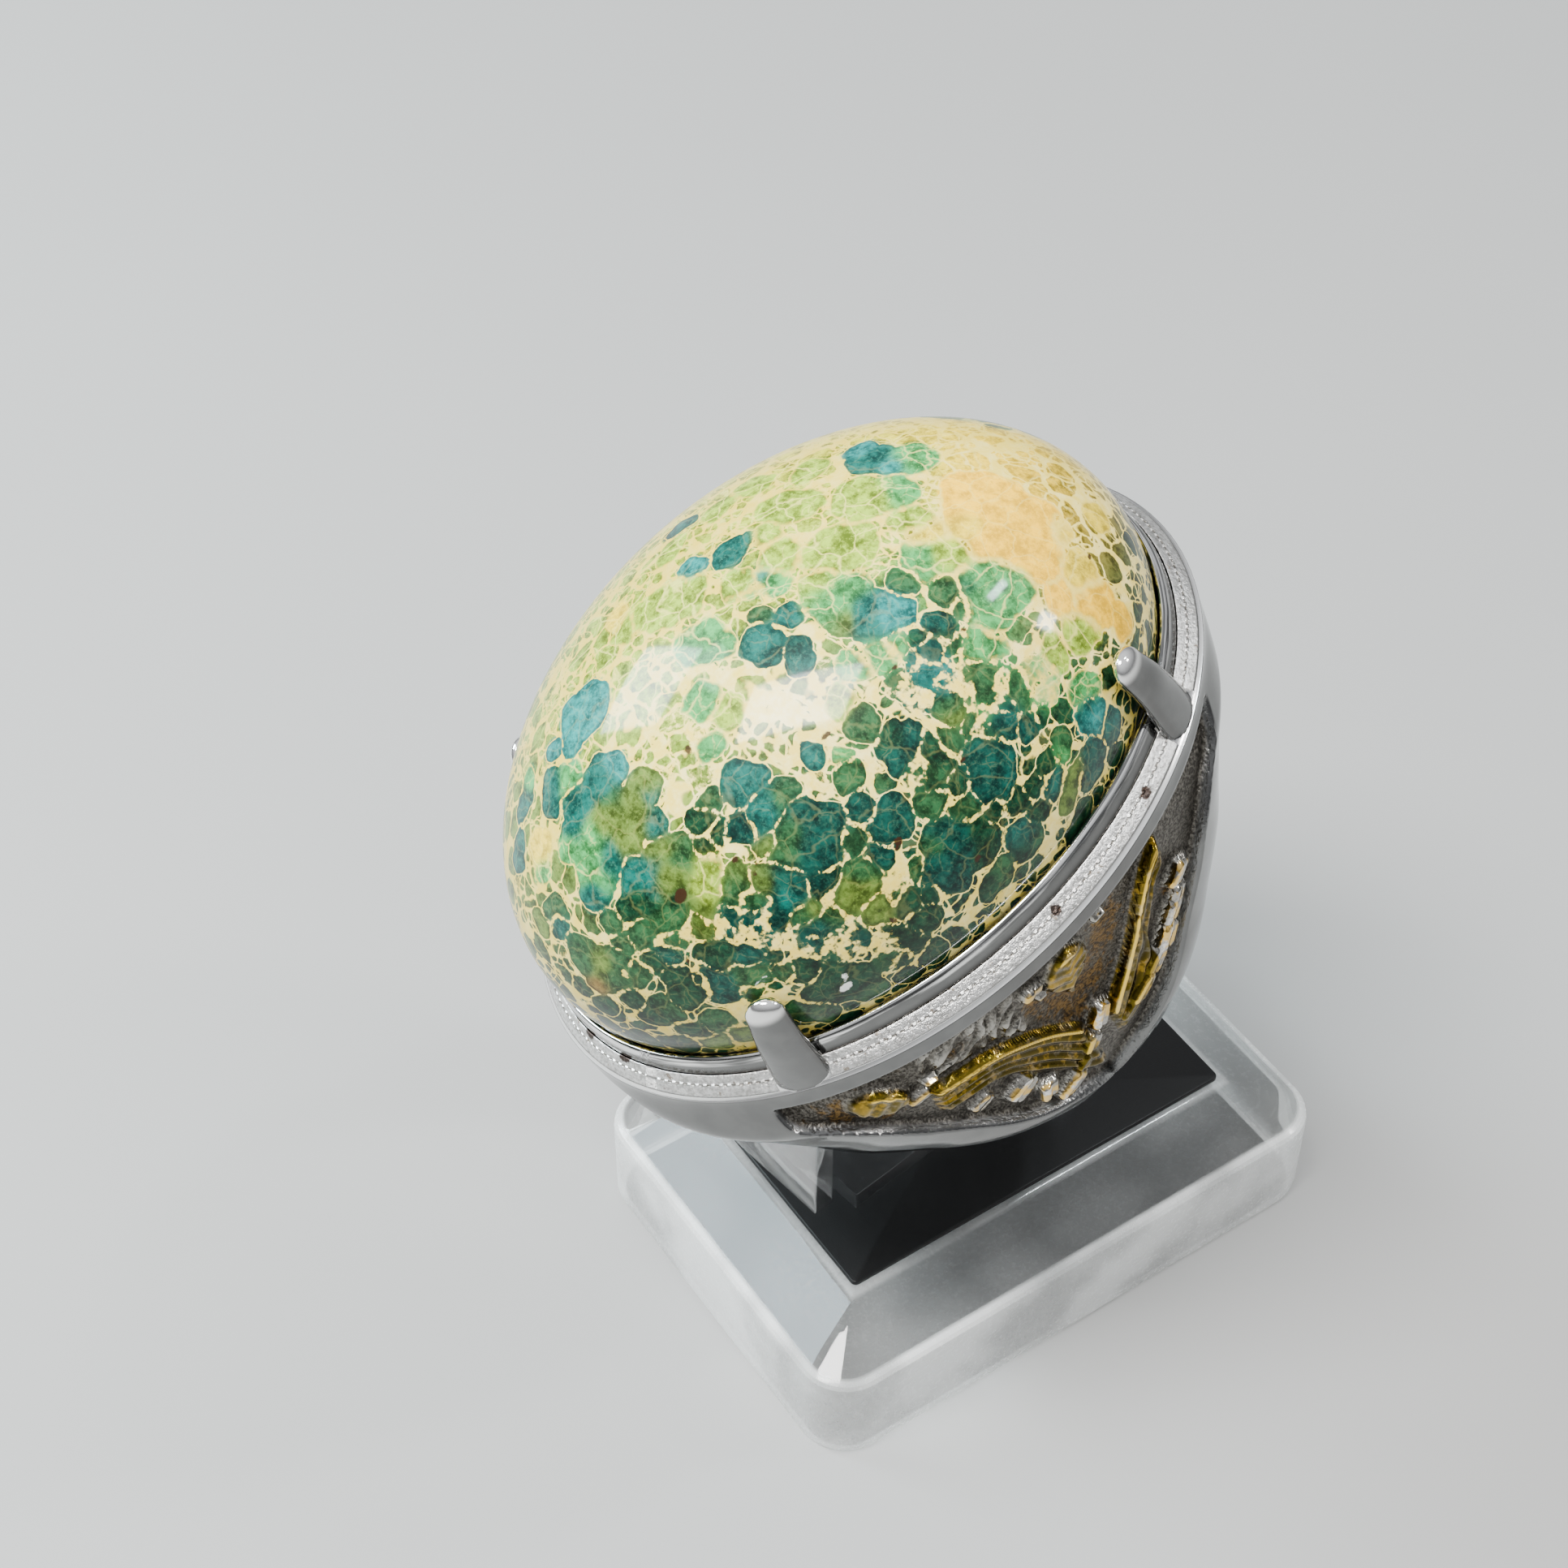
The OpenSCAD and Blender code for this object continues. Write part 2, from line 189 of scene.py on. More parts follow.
# ---------------------------------------------------------------- ring body
def half_width(z):
    """Half width across the finger: the band's circle below the middle, spreading above it."""
    low = np.sqrt(np.maximum(BAND_R ** 2 - z * z, 0.0))
    high = BAND_R + (LEDGE_X - BAND_R) * ease(z / SPREAD_HEIGHT) / ease(LEDGE_Z / SPREAD_HEIGHT)
    return np.where(z < 0, low, high)


def squareness(z):
    """Power of the outline's superellipse: 2 at the ledge, 4 low on the band."""
    return 2.0 + 2.0 * ease((LEDGE_Z - z) / SQUARE_HEIGHT)


def shift(z):
    """How far a level sits off the head's middle, along the finger."""
    return -BAND_OFFSET * curve(OFFSET_PROFILE, z)


# Leading edges of the two wings: place along the finger, height
LEFT_EDGE = np.array([(-7.6, 6.6), (-6.8, 6.35), (-5.6, 6.1), (-4.5, 5.8), (-3.5, 5.2),
                      (-2.5, 4.2), (-1.4, 2.9), (-0.3, 1.3), (0.4, 0.3)])
RIGHT_EDGE = np.array([(1.0, -0.4), (1.9, 0.6), (3.0, 2.1), (4.1, 4.2), (4.9, 6.2), (6.1, 8.1),
                       (7.6, 8.9)])


def wing(y, z, edge, reach):
    """A wing's height and its gilding: a high leading edge, and ribs that run beside it.

    The distance below the edge line is (edge - z) times nearly the cosine of the line's slope.
    The leading edge is a ridge 0.6 wide; under it the ribs are a cosine every 0.62, and the wing
    sinks to nothing at its reach.
    """
    ridge_at, ridge_half, rib_gap, soft = 0.25, 0.30, 0.62, 0.7
    first, last = edge[0, 0], edge[-1, 0]
    inside = ease((y - first) / soft) * ease((last - y) / soft)
    yy = np.clip(y, first, last)
    slope = (curve(edge, yy + 0.1) - curve(edge, yy - 0.1)) / 0.2
    below = (curve(edge, yy) - z) / np.sqrt(1.0 + (0.9 * slope) ** 2)
    ridge = np.exp(-((below - ridge_at) / ridge_half) ** 2) * ease((below + 0.22) / 0.35)
    ribs = 0.64 + 0.10 * np.cos(2 * np.pi * (below - ridge_at) / rib_gap) - 0.12 * below / reach
    end = ease((reach - below) / soft)
    height = np.maximum(ridge, ribs * ease(below / 0.35) * end)
    return inside * height, inside * ease((below + 0.16) / 0.25) * end


def block(y, z, spot):
    """A stepped block at spot (y, z, half length, half width, turn, height).

    Its outline is the superellipse u^6 + w^6 = 1, with steep sides and a flat top in two levels.
    """
    y0, z0, along, across, turn, height = spot
    c, s = math.cos(math.radians(turn)), math.sin(math.radians(turn))
    u = ((y - y0) * c + (z - z0) * s) / along
    w = ((z - z0) * c - (y - y0) * s) / across
    r = (u ** 6 + w ** 6) ** (1.0 / 6.0)
    return height * ease((1.30 - r) / 0.55) * (0.80 + 0.20 * ease((w + 0.2) / 0.5))


RIGHT_BLOCKS = [
    (7.6, 4.7, 0.75, 0.55, 40, 0.95), (7.2, 3.1, 0.55, 0.5, 60, 0.8), (6.5, 2.3, 0.75, 0.55, 50, 0.9),
    (5.7, 1.0, 0.85, 0.6, 50, 0.95), (4.6, 0.2, 0.8, 0.55, 35, 0.85), (3.3, -0.6, 0.9, 0.45, 30, 0.95),
    (2.2, -1.3, 0.6, 0.45, 30, 0.8), (1.0, 0.4, 0.8, 0.5, 55, 1.0), (-0.1, -0.9, 0.6, 0.5, 45, 0.9),
    (-0.9, -1.9, 0.5, 0.45, 30, 0.8)]
LEFT_BLOCKS = [
    (-3.9, 0.3, 0.85, 0.6, 20, 0.9), (-3.0, -1.3, 0.6, 0.55, 70, 0.95), (-2.0, -2.8, 0.9, 0.6, 30, 0.9),
    (-5.7, 1.6, 0.6, 0.5, 20, 0.7), (-7.7, 6.3, 0.6, 0.4, 15, 0.75), (-6.9, 7.2, 0.35, 0.3, 0, 0.8),
    (-1.1, 7.6, 0.35, 0.6, 70, 0.8), (-0.8, 6.5, 0.3, 0.35, 0, 0.7), (3.1, 8.6, 0.4, 0.3, 0, 0.8)]


def leaf(y, z):
    """The middle leaf: its half width is a skewed sine of the height from its point, to a power.

    It has a midrib, slanting veins and a raised top edge.
    """
    point, length, widest = 4.2, 4.5, 1.35
    t = np.clip((z - point) / length, 0.0, 1.0)
    half = widest * np.sin(np.pi * t ** 1.35) ** 0.7
    off = np.abs(y - 0.75 - 0.12 * (z - 6.5))
    veins = 0.13 * np.exp(-(off / 0.2) ** 2) + 0.05 * np.cos(2 * np.pi * (z - 0.7 * off) / 0.75)
    top = ease((z - 7.9) / 0.4)
    return ease((half - off + 0.15) / 0.5) * (0.68 + veins * (1.0 - top) + 0.32 * top)


def lobe(y, z):
    """The left lobe: an oval petal on the slope of the panel's end, with a raised upper edge."""
    y0, z0, along, across, turn = -9.2, 7.5, 1.5, 0.95, math.radians(-38)
    u = (y - y0) * math.cos(turn) + (z - z0) * math.sin(turn)
    w = (z - z0) * math.cos(turn) - (y - y0) * math.sin(turn)
    r = np.sqrt((u / along) ** 2 + (w / across) ** 2)
    return ease((1.2 - r) / 0.45) * (0.68 + 0.06 * np.cos(2 * np.pi * u / 0.7) + 0.28 * ease((w - 0.3) / 0.4))


def streaks(y, z):
    """Slanting strokes above the left wing: a sharpened sine across the slant, in a soft window."""
    bold = 0.34 + 0.12 * np.sin(2.6 * y + 1.4 * z) + 0.10 * np.sin(5.1 * z - 1.7 * y)
    wing_top = curve(LEFT_EDGE, np.clip(y, LEFT_EDGE[0, 0], LEFT_EDGE[-1, 0]))
    window = ease((y + 7.4) / 0.8) * ease((-1.6 - y) / 0.8) * ease((z - wing_top - 0.3) / 0.4)
    across = 0.75 * y - 0.66 * z + 0.3 * np.sin(1.7 * y) + 0.16 * np.sin(3.7 * z + 1.0)
    return window * bold * np.abs(np.sin(np.pi * across / 0.72)) ** 1.3


def relief(y, z):
    """Height of the cast relief over the sunk ground, 0 to 1, and how gilt it is."""
    left, left_gilt = wing(y, z, LEFT_EDGE, reach=3.6)
    right, right_gilt = wing(y, z, RIGHT_EDGE, reach=2.3)
    petals = [leaf(y, z), lobe(y, z)]
    blocks = [block(y, z, spot) for spot in RIGHT_BLOCKS + LEFT_BLOCKS]
    height = np.maximum.reduce([left, right, streaks(y, z)] + petals + blocks)
    return height, np.clip(np.maximum.reduce([left_gilt, right_gilt] + petals), 0, 1)


# Brown stains on the panel's ground: y, z, reach
STAINS = [(0.0, 3.9, 1.5), (1.8, 3.0, 1.1), (2.8, 5.6, 1.3), (3.6, 7.4, 1.0), (-1.2, 5.6, 0.8),
          (-10.6, 7.6, 1.2), (-9.0, 6.0, 0.7), (7.2, 3.8, 0.8), (-5.2, 7.6, 0.5), (0.2, 1.6, 0.9)]


def inside_panel(y, z):
    """How far a point lies inside the sunk panel, 0 to 1 over its soft edge."""
    return ease(np.minimum((curve(SIDE_PROFILE, z) - PANEL_BORDER - np.abs(y)) / 0.45,
                           (LEDGE_Z - PANEL_RIM - z) / 0.3))


# Ledge and collar, inwards: distance in from the ledge's edge, height above it
LEDGE_ROWS = np.array([
    (0.0, 0.0), (0.03, 0.02), (0.08, 0.06), (0.16, 0.17), (0.34, 0.40), (0.50, 0.60), (0.53, 0.615),
    (0.56, 0.60), (0.60, 0.645), (0.72, 0.80), (0.84, 0.96), (0.87, 0.975), (0.90, 0.96), (0.92, 0.95),
    (0.94, 1.05), (0.96, 1.25), (0.98, 1.50), (1.02, 1.72), (1.07, 1.86), (1.14, 1.95), (1.21, 1.995),
    (1.28, 2.0), (1.34, 1.97), (1.38, 1.92), (1.41, 1.84), (1.42, 1.70), (1.42, 1.2), (1.42, SEAT_FLOOR)])
# Points along a side and an end of a level, and the share of the half length where they meet
SIDE_STEPS, END_STEPS, CORNER = 232, 18, 0.93


def body_heights():
    """Heights of the body's levels: coarse on the band, fine over the panels, fine at the ledge."""
    low = -BAND_R * np.cos(np.radians([2, 5, 9, 13, 17, 21, 26, 31, 36]))
    return np.concatenate([low, np.arange(-9.2, -4.0, 0.26), np.arange(-4.0, 9.6, 0.12),
                           np.linspace(9.62, LEDGE_Z - 0.06, 8)])


def outline(a, b, n):
    """Points round a superellipse |x/a|^n + |y/b|^n = 1: two sides even in y, two ends even in x."""
    v = CORNER * (2.0 * np.arange(SIDE_STEPS) / SIDE_STEPS - 1.0)
    side_x, side_y = a * (1.0 - np.abs(v) ** n) ** (1.0 / n), b * v
    corner_x = a * (1.0 - CORNER ** n) ** (1.0 / n)
    end_x = corner_x * (1.0 - 2.0 * np.arange(END_STEPS) / END_STEPS)
    end_y = b * (1.0 - np.abs(end_x / a) ** n) ** (1.0 / n)
    return side_x, side_y, end_x, end_y


def closed_levels(side_x, side_y, end_x, end_y, z):
    """Levels from one side and one end of each; the others are the same turned half a turn."""
    x = np.concatenate([side_x, end_x, -side_x, -end_x], 1)
    y = np.concatenate([side_y, end_y, -side_y, -end_y], 1)
    return np.stack([x, y, np.broadcast_to(z, x.shape)], -1)


def ring_levels():
    """Levels of band, head, ledge and collar, with the marks that the metal's finish reads.

    A side's x is the outline's less the panel's depth plus the relief. The marks of a side are
    nought on the ends, ledge and collar.
    """
    z = body_heights()[:, None]
    side_x, side_y, end_x, end_y = outline(half_width(z), curve(SIDE_PROFILE, z), squareness(z))
    heights = np.broadcast_to(z, side_x.shape)
    sunk = inside_panel(side_y, heights)
    raised, gilt = relief(side_y, heights)
    body = closed_levels(side_x - sunk * PANEL_DEPTH * (1.0 - 0.97 * raised), side_y, end_x, end_y, z)
    body[..., 1] += shift(z)
    inset, rise = LEDGE_ROWS[:, :1], LEDGE_ROWS[:, 1:]
    head = closed_levels(*outline(LEDGE_X - inset, LEDGE_Y - inset, 2.0), LEDGE_Z + rise)
    levels = np.concatenate([body, head])

    stain = np.minimum(sum(np.exp(-((side_y - y0) ** 2 + (heights - z0) ** 2) / reach ** 2)
                           for y0, z0, reach in STAINS), 1.0)
    steps = np.linalg.norm(np.diff(head[0], axis=0, append=head[0][:1]), axis=1)
    along = np.concatenate([[0.0], np.cumsum(steps)[:-1]])
    across = np.broadcast_to(inset + 0.001, head.shape[:2])
    marks = {"along": np.broadcast_to(along, levels.shape[:2]),
             "ledge": np.concatenate([np.zeros(body.shape[:2]), across])}
    end, rest = np.zeros_like(end_x), np.zeros(head.shape[:2])
    for name, side in {"stain": sunk * stain, "ground": sunk * (1.0 - ease(raised / 0.35)),
                       "gilt": sunk * gilt, "rise": raised, "panel": sunk}.items():
        marks[name] = np.concatenate([np.concatenate([side, end, side, end], 1), rest])
    return levels, {name: np.append(values.ravel(), [0.0, 0.0]) for name, values in marks.items()}


def claw(sx, sy):
    """A claw's levels: ovals on a line that bends in over the stone and leans sideways.

    The line's foot is on the ledge oval; its centre moves inwards along the oval's normal and
    sideways with the height to the power 1.3, and the width tapers to a rounded tip.
    """
    angle = math.radians(CLAW_ANGLE)
    foot = np.array([LEDGE_X * math.cos(angle), LEDGE_Y * math.sin(angle)])
    steep = -foot / np.array([LEDGE_X, LEDGE_Y]) ** 2
    inwards = steep / np.linalg.norm(steep)
    sideways = np.array([-inwards[1], inwards[0]])
    shank = np.linspace(0.5, CLAW_HEIGHT - CLAW_TIP, 18)
    tip = CLAW_HEIGHT - CLAW_TIP * (1 - np.sin(np.radians(np.arange(8, 91, 8.2))))
    h = np.concatenate([[-0.4, -0.1, 0.2], shank, tip])[:, None]
    lift = np.maximum(h, 0.0)
    share = lift / CLAW_HEIGHT
    c = np.clip((lift - CLAW_HEIGHT + CLAW_TIP) / CLAW_TIP, 0.0, 1.0)
    cap = np.sqrt(np.maximum(1 - c * c, 0.004))
    half_wide, half_thick = (cap * (at_foot + (at_tip - at_foot) * share)
                             for at_foot, at_tip in (CLAW_WIDTH, CLAW_THICK))
    g = sx * sy * 2 * np.pi * np.arange(40)[None, :] / 40
    bend = 0.62 + 0.23 * ease((lift - 3.2) / 2.6)
    lean = 0.8 * share ** 1.3
    flat = (foot + (bend + half_thick * np.cos(g))[..., None] * inwards
            + (lean + half_wide * np.sin(g))[..., None] * sideways)
    z = np.broadcast_to(LEDGE_Z + h, flat.shape[:2])
    return np.stack([sx * flat[..., 0], sy * flat[..., 1], z], -1)


def combine(piece, other, how):
    """Joins or cuts a piece with another, which is used up."""
    step = piece.modifiers.new(how.lower(), "BOOLEAN")
    step.operation, step.solver, step.object = how, "MANIFOLD", other
    bpy.context.view_layer.objects.active = piece
    bpy.context.view_layer.update()
    shape = bpy.data.meshes.new_from_object(piece.evaluated_get(bpy.context.evaluated_depsgraph_get()))
    piece.modifiers.clear()
    piece.data = shape
    bpy.data.objects.remove(other)


def cylinder_along_y(radius, reach, count=256):
    """Levels of a round bar along y."""
    g = -2 * np.pi * np.arange(count) / count
    ring = np.stack([radius * np.cos(g), np.zeros(count), radius * np.sin(g)], -1)
    return np.stack([ring + [0, y, 0] for y in (-reach, reach)])


def make_ring_shell():
    """Band, head and claws in one closed skin, with the finger hole cut through."""
    levels, marks = ring_levels()
    shell = hung_loft("ring_shell", levels, marks)
    for sx in (1, -1):
        for sy in (1, -1):
            combine(shell, hung_loft("claw", claw(sx, sy)), "UNION")
    bore = cylinder_along_y(HOLE_R, reach=40.0)
    combine(shell, hung_loft("bore", bore), "DIFFERENCE")
    shell.name = "ring_shell"
    shell.data.shade_smooth()
    shell.data.set_sharp_from_angle(angle=math.radians(70))
    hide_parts("ring_body")
    return shell


# ---------------------------------------------------------------- stone
# The stone's tints, as linear colours
TINTS = {"sky": (0.009, 0.155, 0.155), "sea": (0.001, 0.066, 0.059), "deep": (0.0003, 0.032, 0.028),
         "pine": (0.002, 0.021, 0.008), "moss": (0.016, 0.058, 0.018), "olive": (0.090, 0.125, 0.015),
         "lime": (0.25, 0.33, 0.020), "mint": (0.045, 0.235, 0.060), "straw": (0.62, 0.42, 0.02),
         "amber": (0.80, 0.43, 0.001), "rust": (0.15, 0.065, 0.008)}
# The stone's larger cells, each one or more round lobes: degrees round from the front, degrees up
# from the widest line, radius. First the cells of one tint, then those of several.
PLAIN_CELLS = {
    "sky": [[(-110, 61, 1.18), (-113, 63, 0.94), (-106, 59, 0.71)], [(-110, 53, 0.38)],
        [(177, 77, 0.45)]],
    "sea": [[(-103, 35, 0.41), (-101, 32, 0.39)], [(-29, 54, 0.78)], [(-11, 52, 0.3)],
        [(-80, 28, 0.47)], [(146, 79, 0.7), (133, 78, 0.37)], [(21, 76, 0.41)], [(170, 58, 0.45),
        (173, 58, 0.29)]],
    "deep": [[(-32, 47, 0.49), (-31, 46, 0.31)], [(-11, 27, 0.41)], [(-8, 37, 0.45)], [(-5, 32, 0.82)],
        [(14, 45, 0.43)], [(21, 24, 0.47), (20, 23, 0.31)], [(25, 2, 0.63), (23, -1, 0.55)],
        [(-52, 27, 0.55)], [(-36, 28, 0.78), (-39, 28, 0.65), (-35, 25, 0.65)], [(14, 45, 0.45)]],
    "pine": [[(-37, 48, 0.43)], [(-41, 51, 0.47)], [(-41, 46, 0.39)], [(-11, 14, 0.47)],
        [(24, 22, 0.3)], [(7, 28, 0.38), (6, 27, 0.27)], [(19, 13, 0.38)], [(28, -6, 0.39)],
        [(15, 13, 0.33)], [(11, 13, 0.39), (12, 14, 0.31)], [(8, 16, 0.31)], [(12, 7, 0.39)],
        [(16, -9, 0.63), (18, -7, 0.47)], [(-7, 12, 0.47)], [(-34, 21, 0.31)], [(-56, 24, 0.5)],
        [(-52, 21, 0.65), (-51, 16, 0.65)], [(-48, 19, 0.31)], [(-70, 11, 0.47)], [(-63, 15, 0.52)],
        [(-30, 13, 0.65)], [(-17, 6, 0.78), (-16, 2, 0.65)], [(-11, 7, 0.65)], [(-13, -3, 0.59)],
        [(-18, -6, 0.44)], [(-54, 4, 0.52)], [(-59, -3, 0.78)], [(-66, -2, 0.72), (-70, -1, 0.52)],
        [(-73, 2, 0.46)], [(26, 51, 0.37)], [(65, 7, 0.29)]],
    "moss": [[(-39, 54, 0.35)], [(-13, 33, 0.51)], [(-7, 44, 0.45)], [(4, 35, 0.51)], [(-11, 21, 0.33),
        (-12, 19, 0.24)], [(14, 49, 0.38)], [(12, 35, 0.51)], [(16, 32, 0.39)], [(2, 28, 0.55),
        (1, 27, 0.31)], [(3, 23, 0.47), (4, 20, 0.39)], [(-11, 21, 0.31)], [(-7, 19, 0.31)],
        [(-82, 31, 0.55)], [(-65, 33, 0.47)], [(-63, 30, 0.42)], [(-60, 22, 0.52)], [(-33, 15, 0.34)],
        [(-34, 1, 0.72), (-32, -3, 0.52)], [(-48, 5, 0.72)], [(-40, 13, 0.39)], [(43, 59, 0.54)],
        [(15, 80, 0.29)], [(29, 45, 0.45)], [(14, 50, 0.41)], [(23, 36, 1.03)], [(41, 50, 0.5)],
        [(39, 47, 0.37)], [(2, 50, 0.54)], [(16, 33, 0.62)]],
    "olive": [[(-27, 42, 0.3)], [(-15, 17, 0.55)], [(19, 3, 0.51), (17, 1, 0.39), (21, 3, 0.31)],
        [(-87, 26, 0.44)], [(-51, -2, 0.59)], [(-46, -1, 0.65)]],
    "lime": [[(41, 21, 0.7)], [(34, 25, 0.62)], [(63, 70, 1.24), (64, 67, 0.83), (63, 73, 0.7)],
        [(121, 70, 1.03), (110, 69, 0.62)], [(81, 79, 0.83)], [(116, 77, 0.5)], [(-150, 78, 1.14),
        (-159, 82, 0.83), (-146, 74, 0.7)], [(-142, 70, 0.54)], [(-31, 68, 0.5)], [(89, 86, 0.66)],
        [(68, 58, 0.58)], [(178, 65, 0.62)], [(157, 62, 0.7)], [(145, 60, 0.7)], [(123, 60, 0.7)],
        [(2, 56, 0.45)]],
    "mint": [[(-37, 63, 0.35), (-38, 62, 0.24)], [(-6, 47, 0.25)], [(28, 25, 0.82), (28, 23, 0.47)],
        [(32, 14, 0.55)], [(19, 57, 0.62)], [(23, 55, 0.45)], [(12, 59, 0.54)], [(30, 40, 0.83)],
        [(28, 26, 0.91), (30, 23, 0.29)], [(-59, 83, 0.95), (-30, 81, 0.41)], [(-43, 72, 0.58)],
        [(65, 85, 0.41)]],
    "straw": [[(-151, 65, 0.45)], [(60, 55, 0.62)], [(67, 19, 0.7)], [(52, 24, 0.74)],
        [(60, 31, 0.62)]],
    "amber": [[(47, 19, 1.03), (47, 11, 0.62)], [(45, 27, 0.83)]],
}
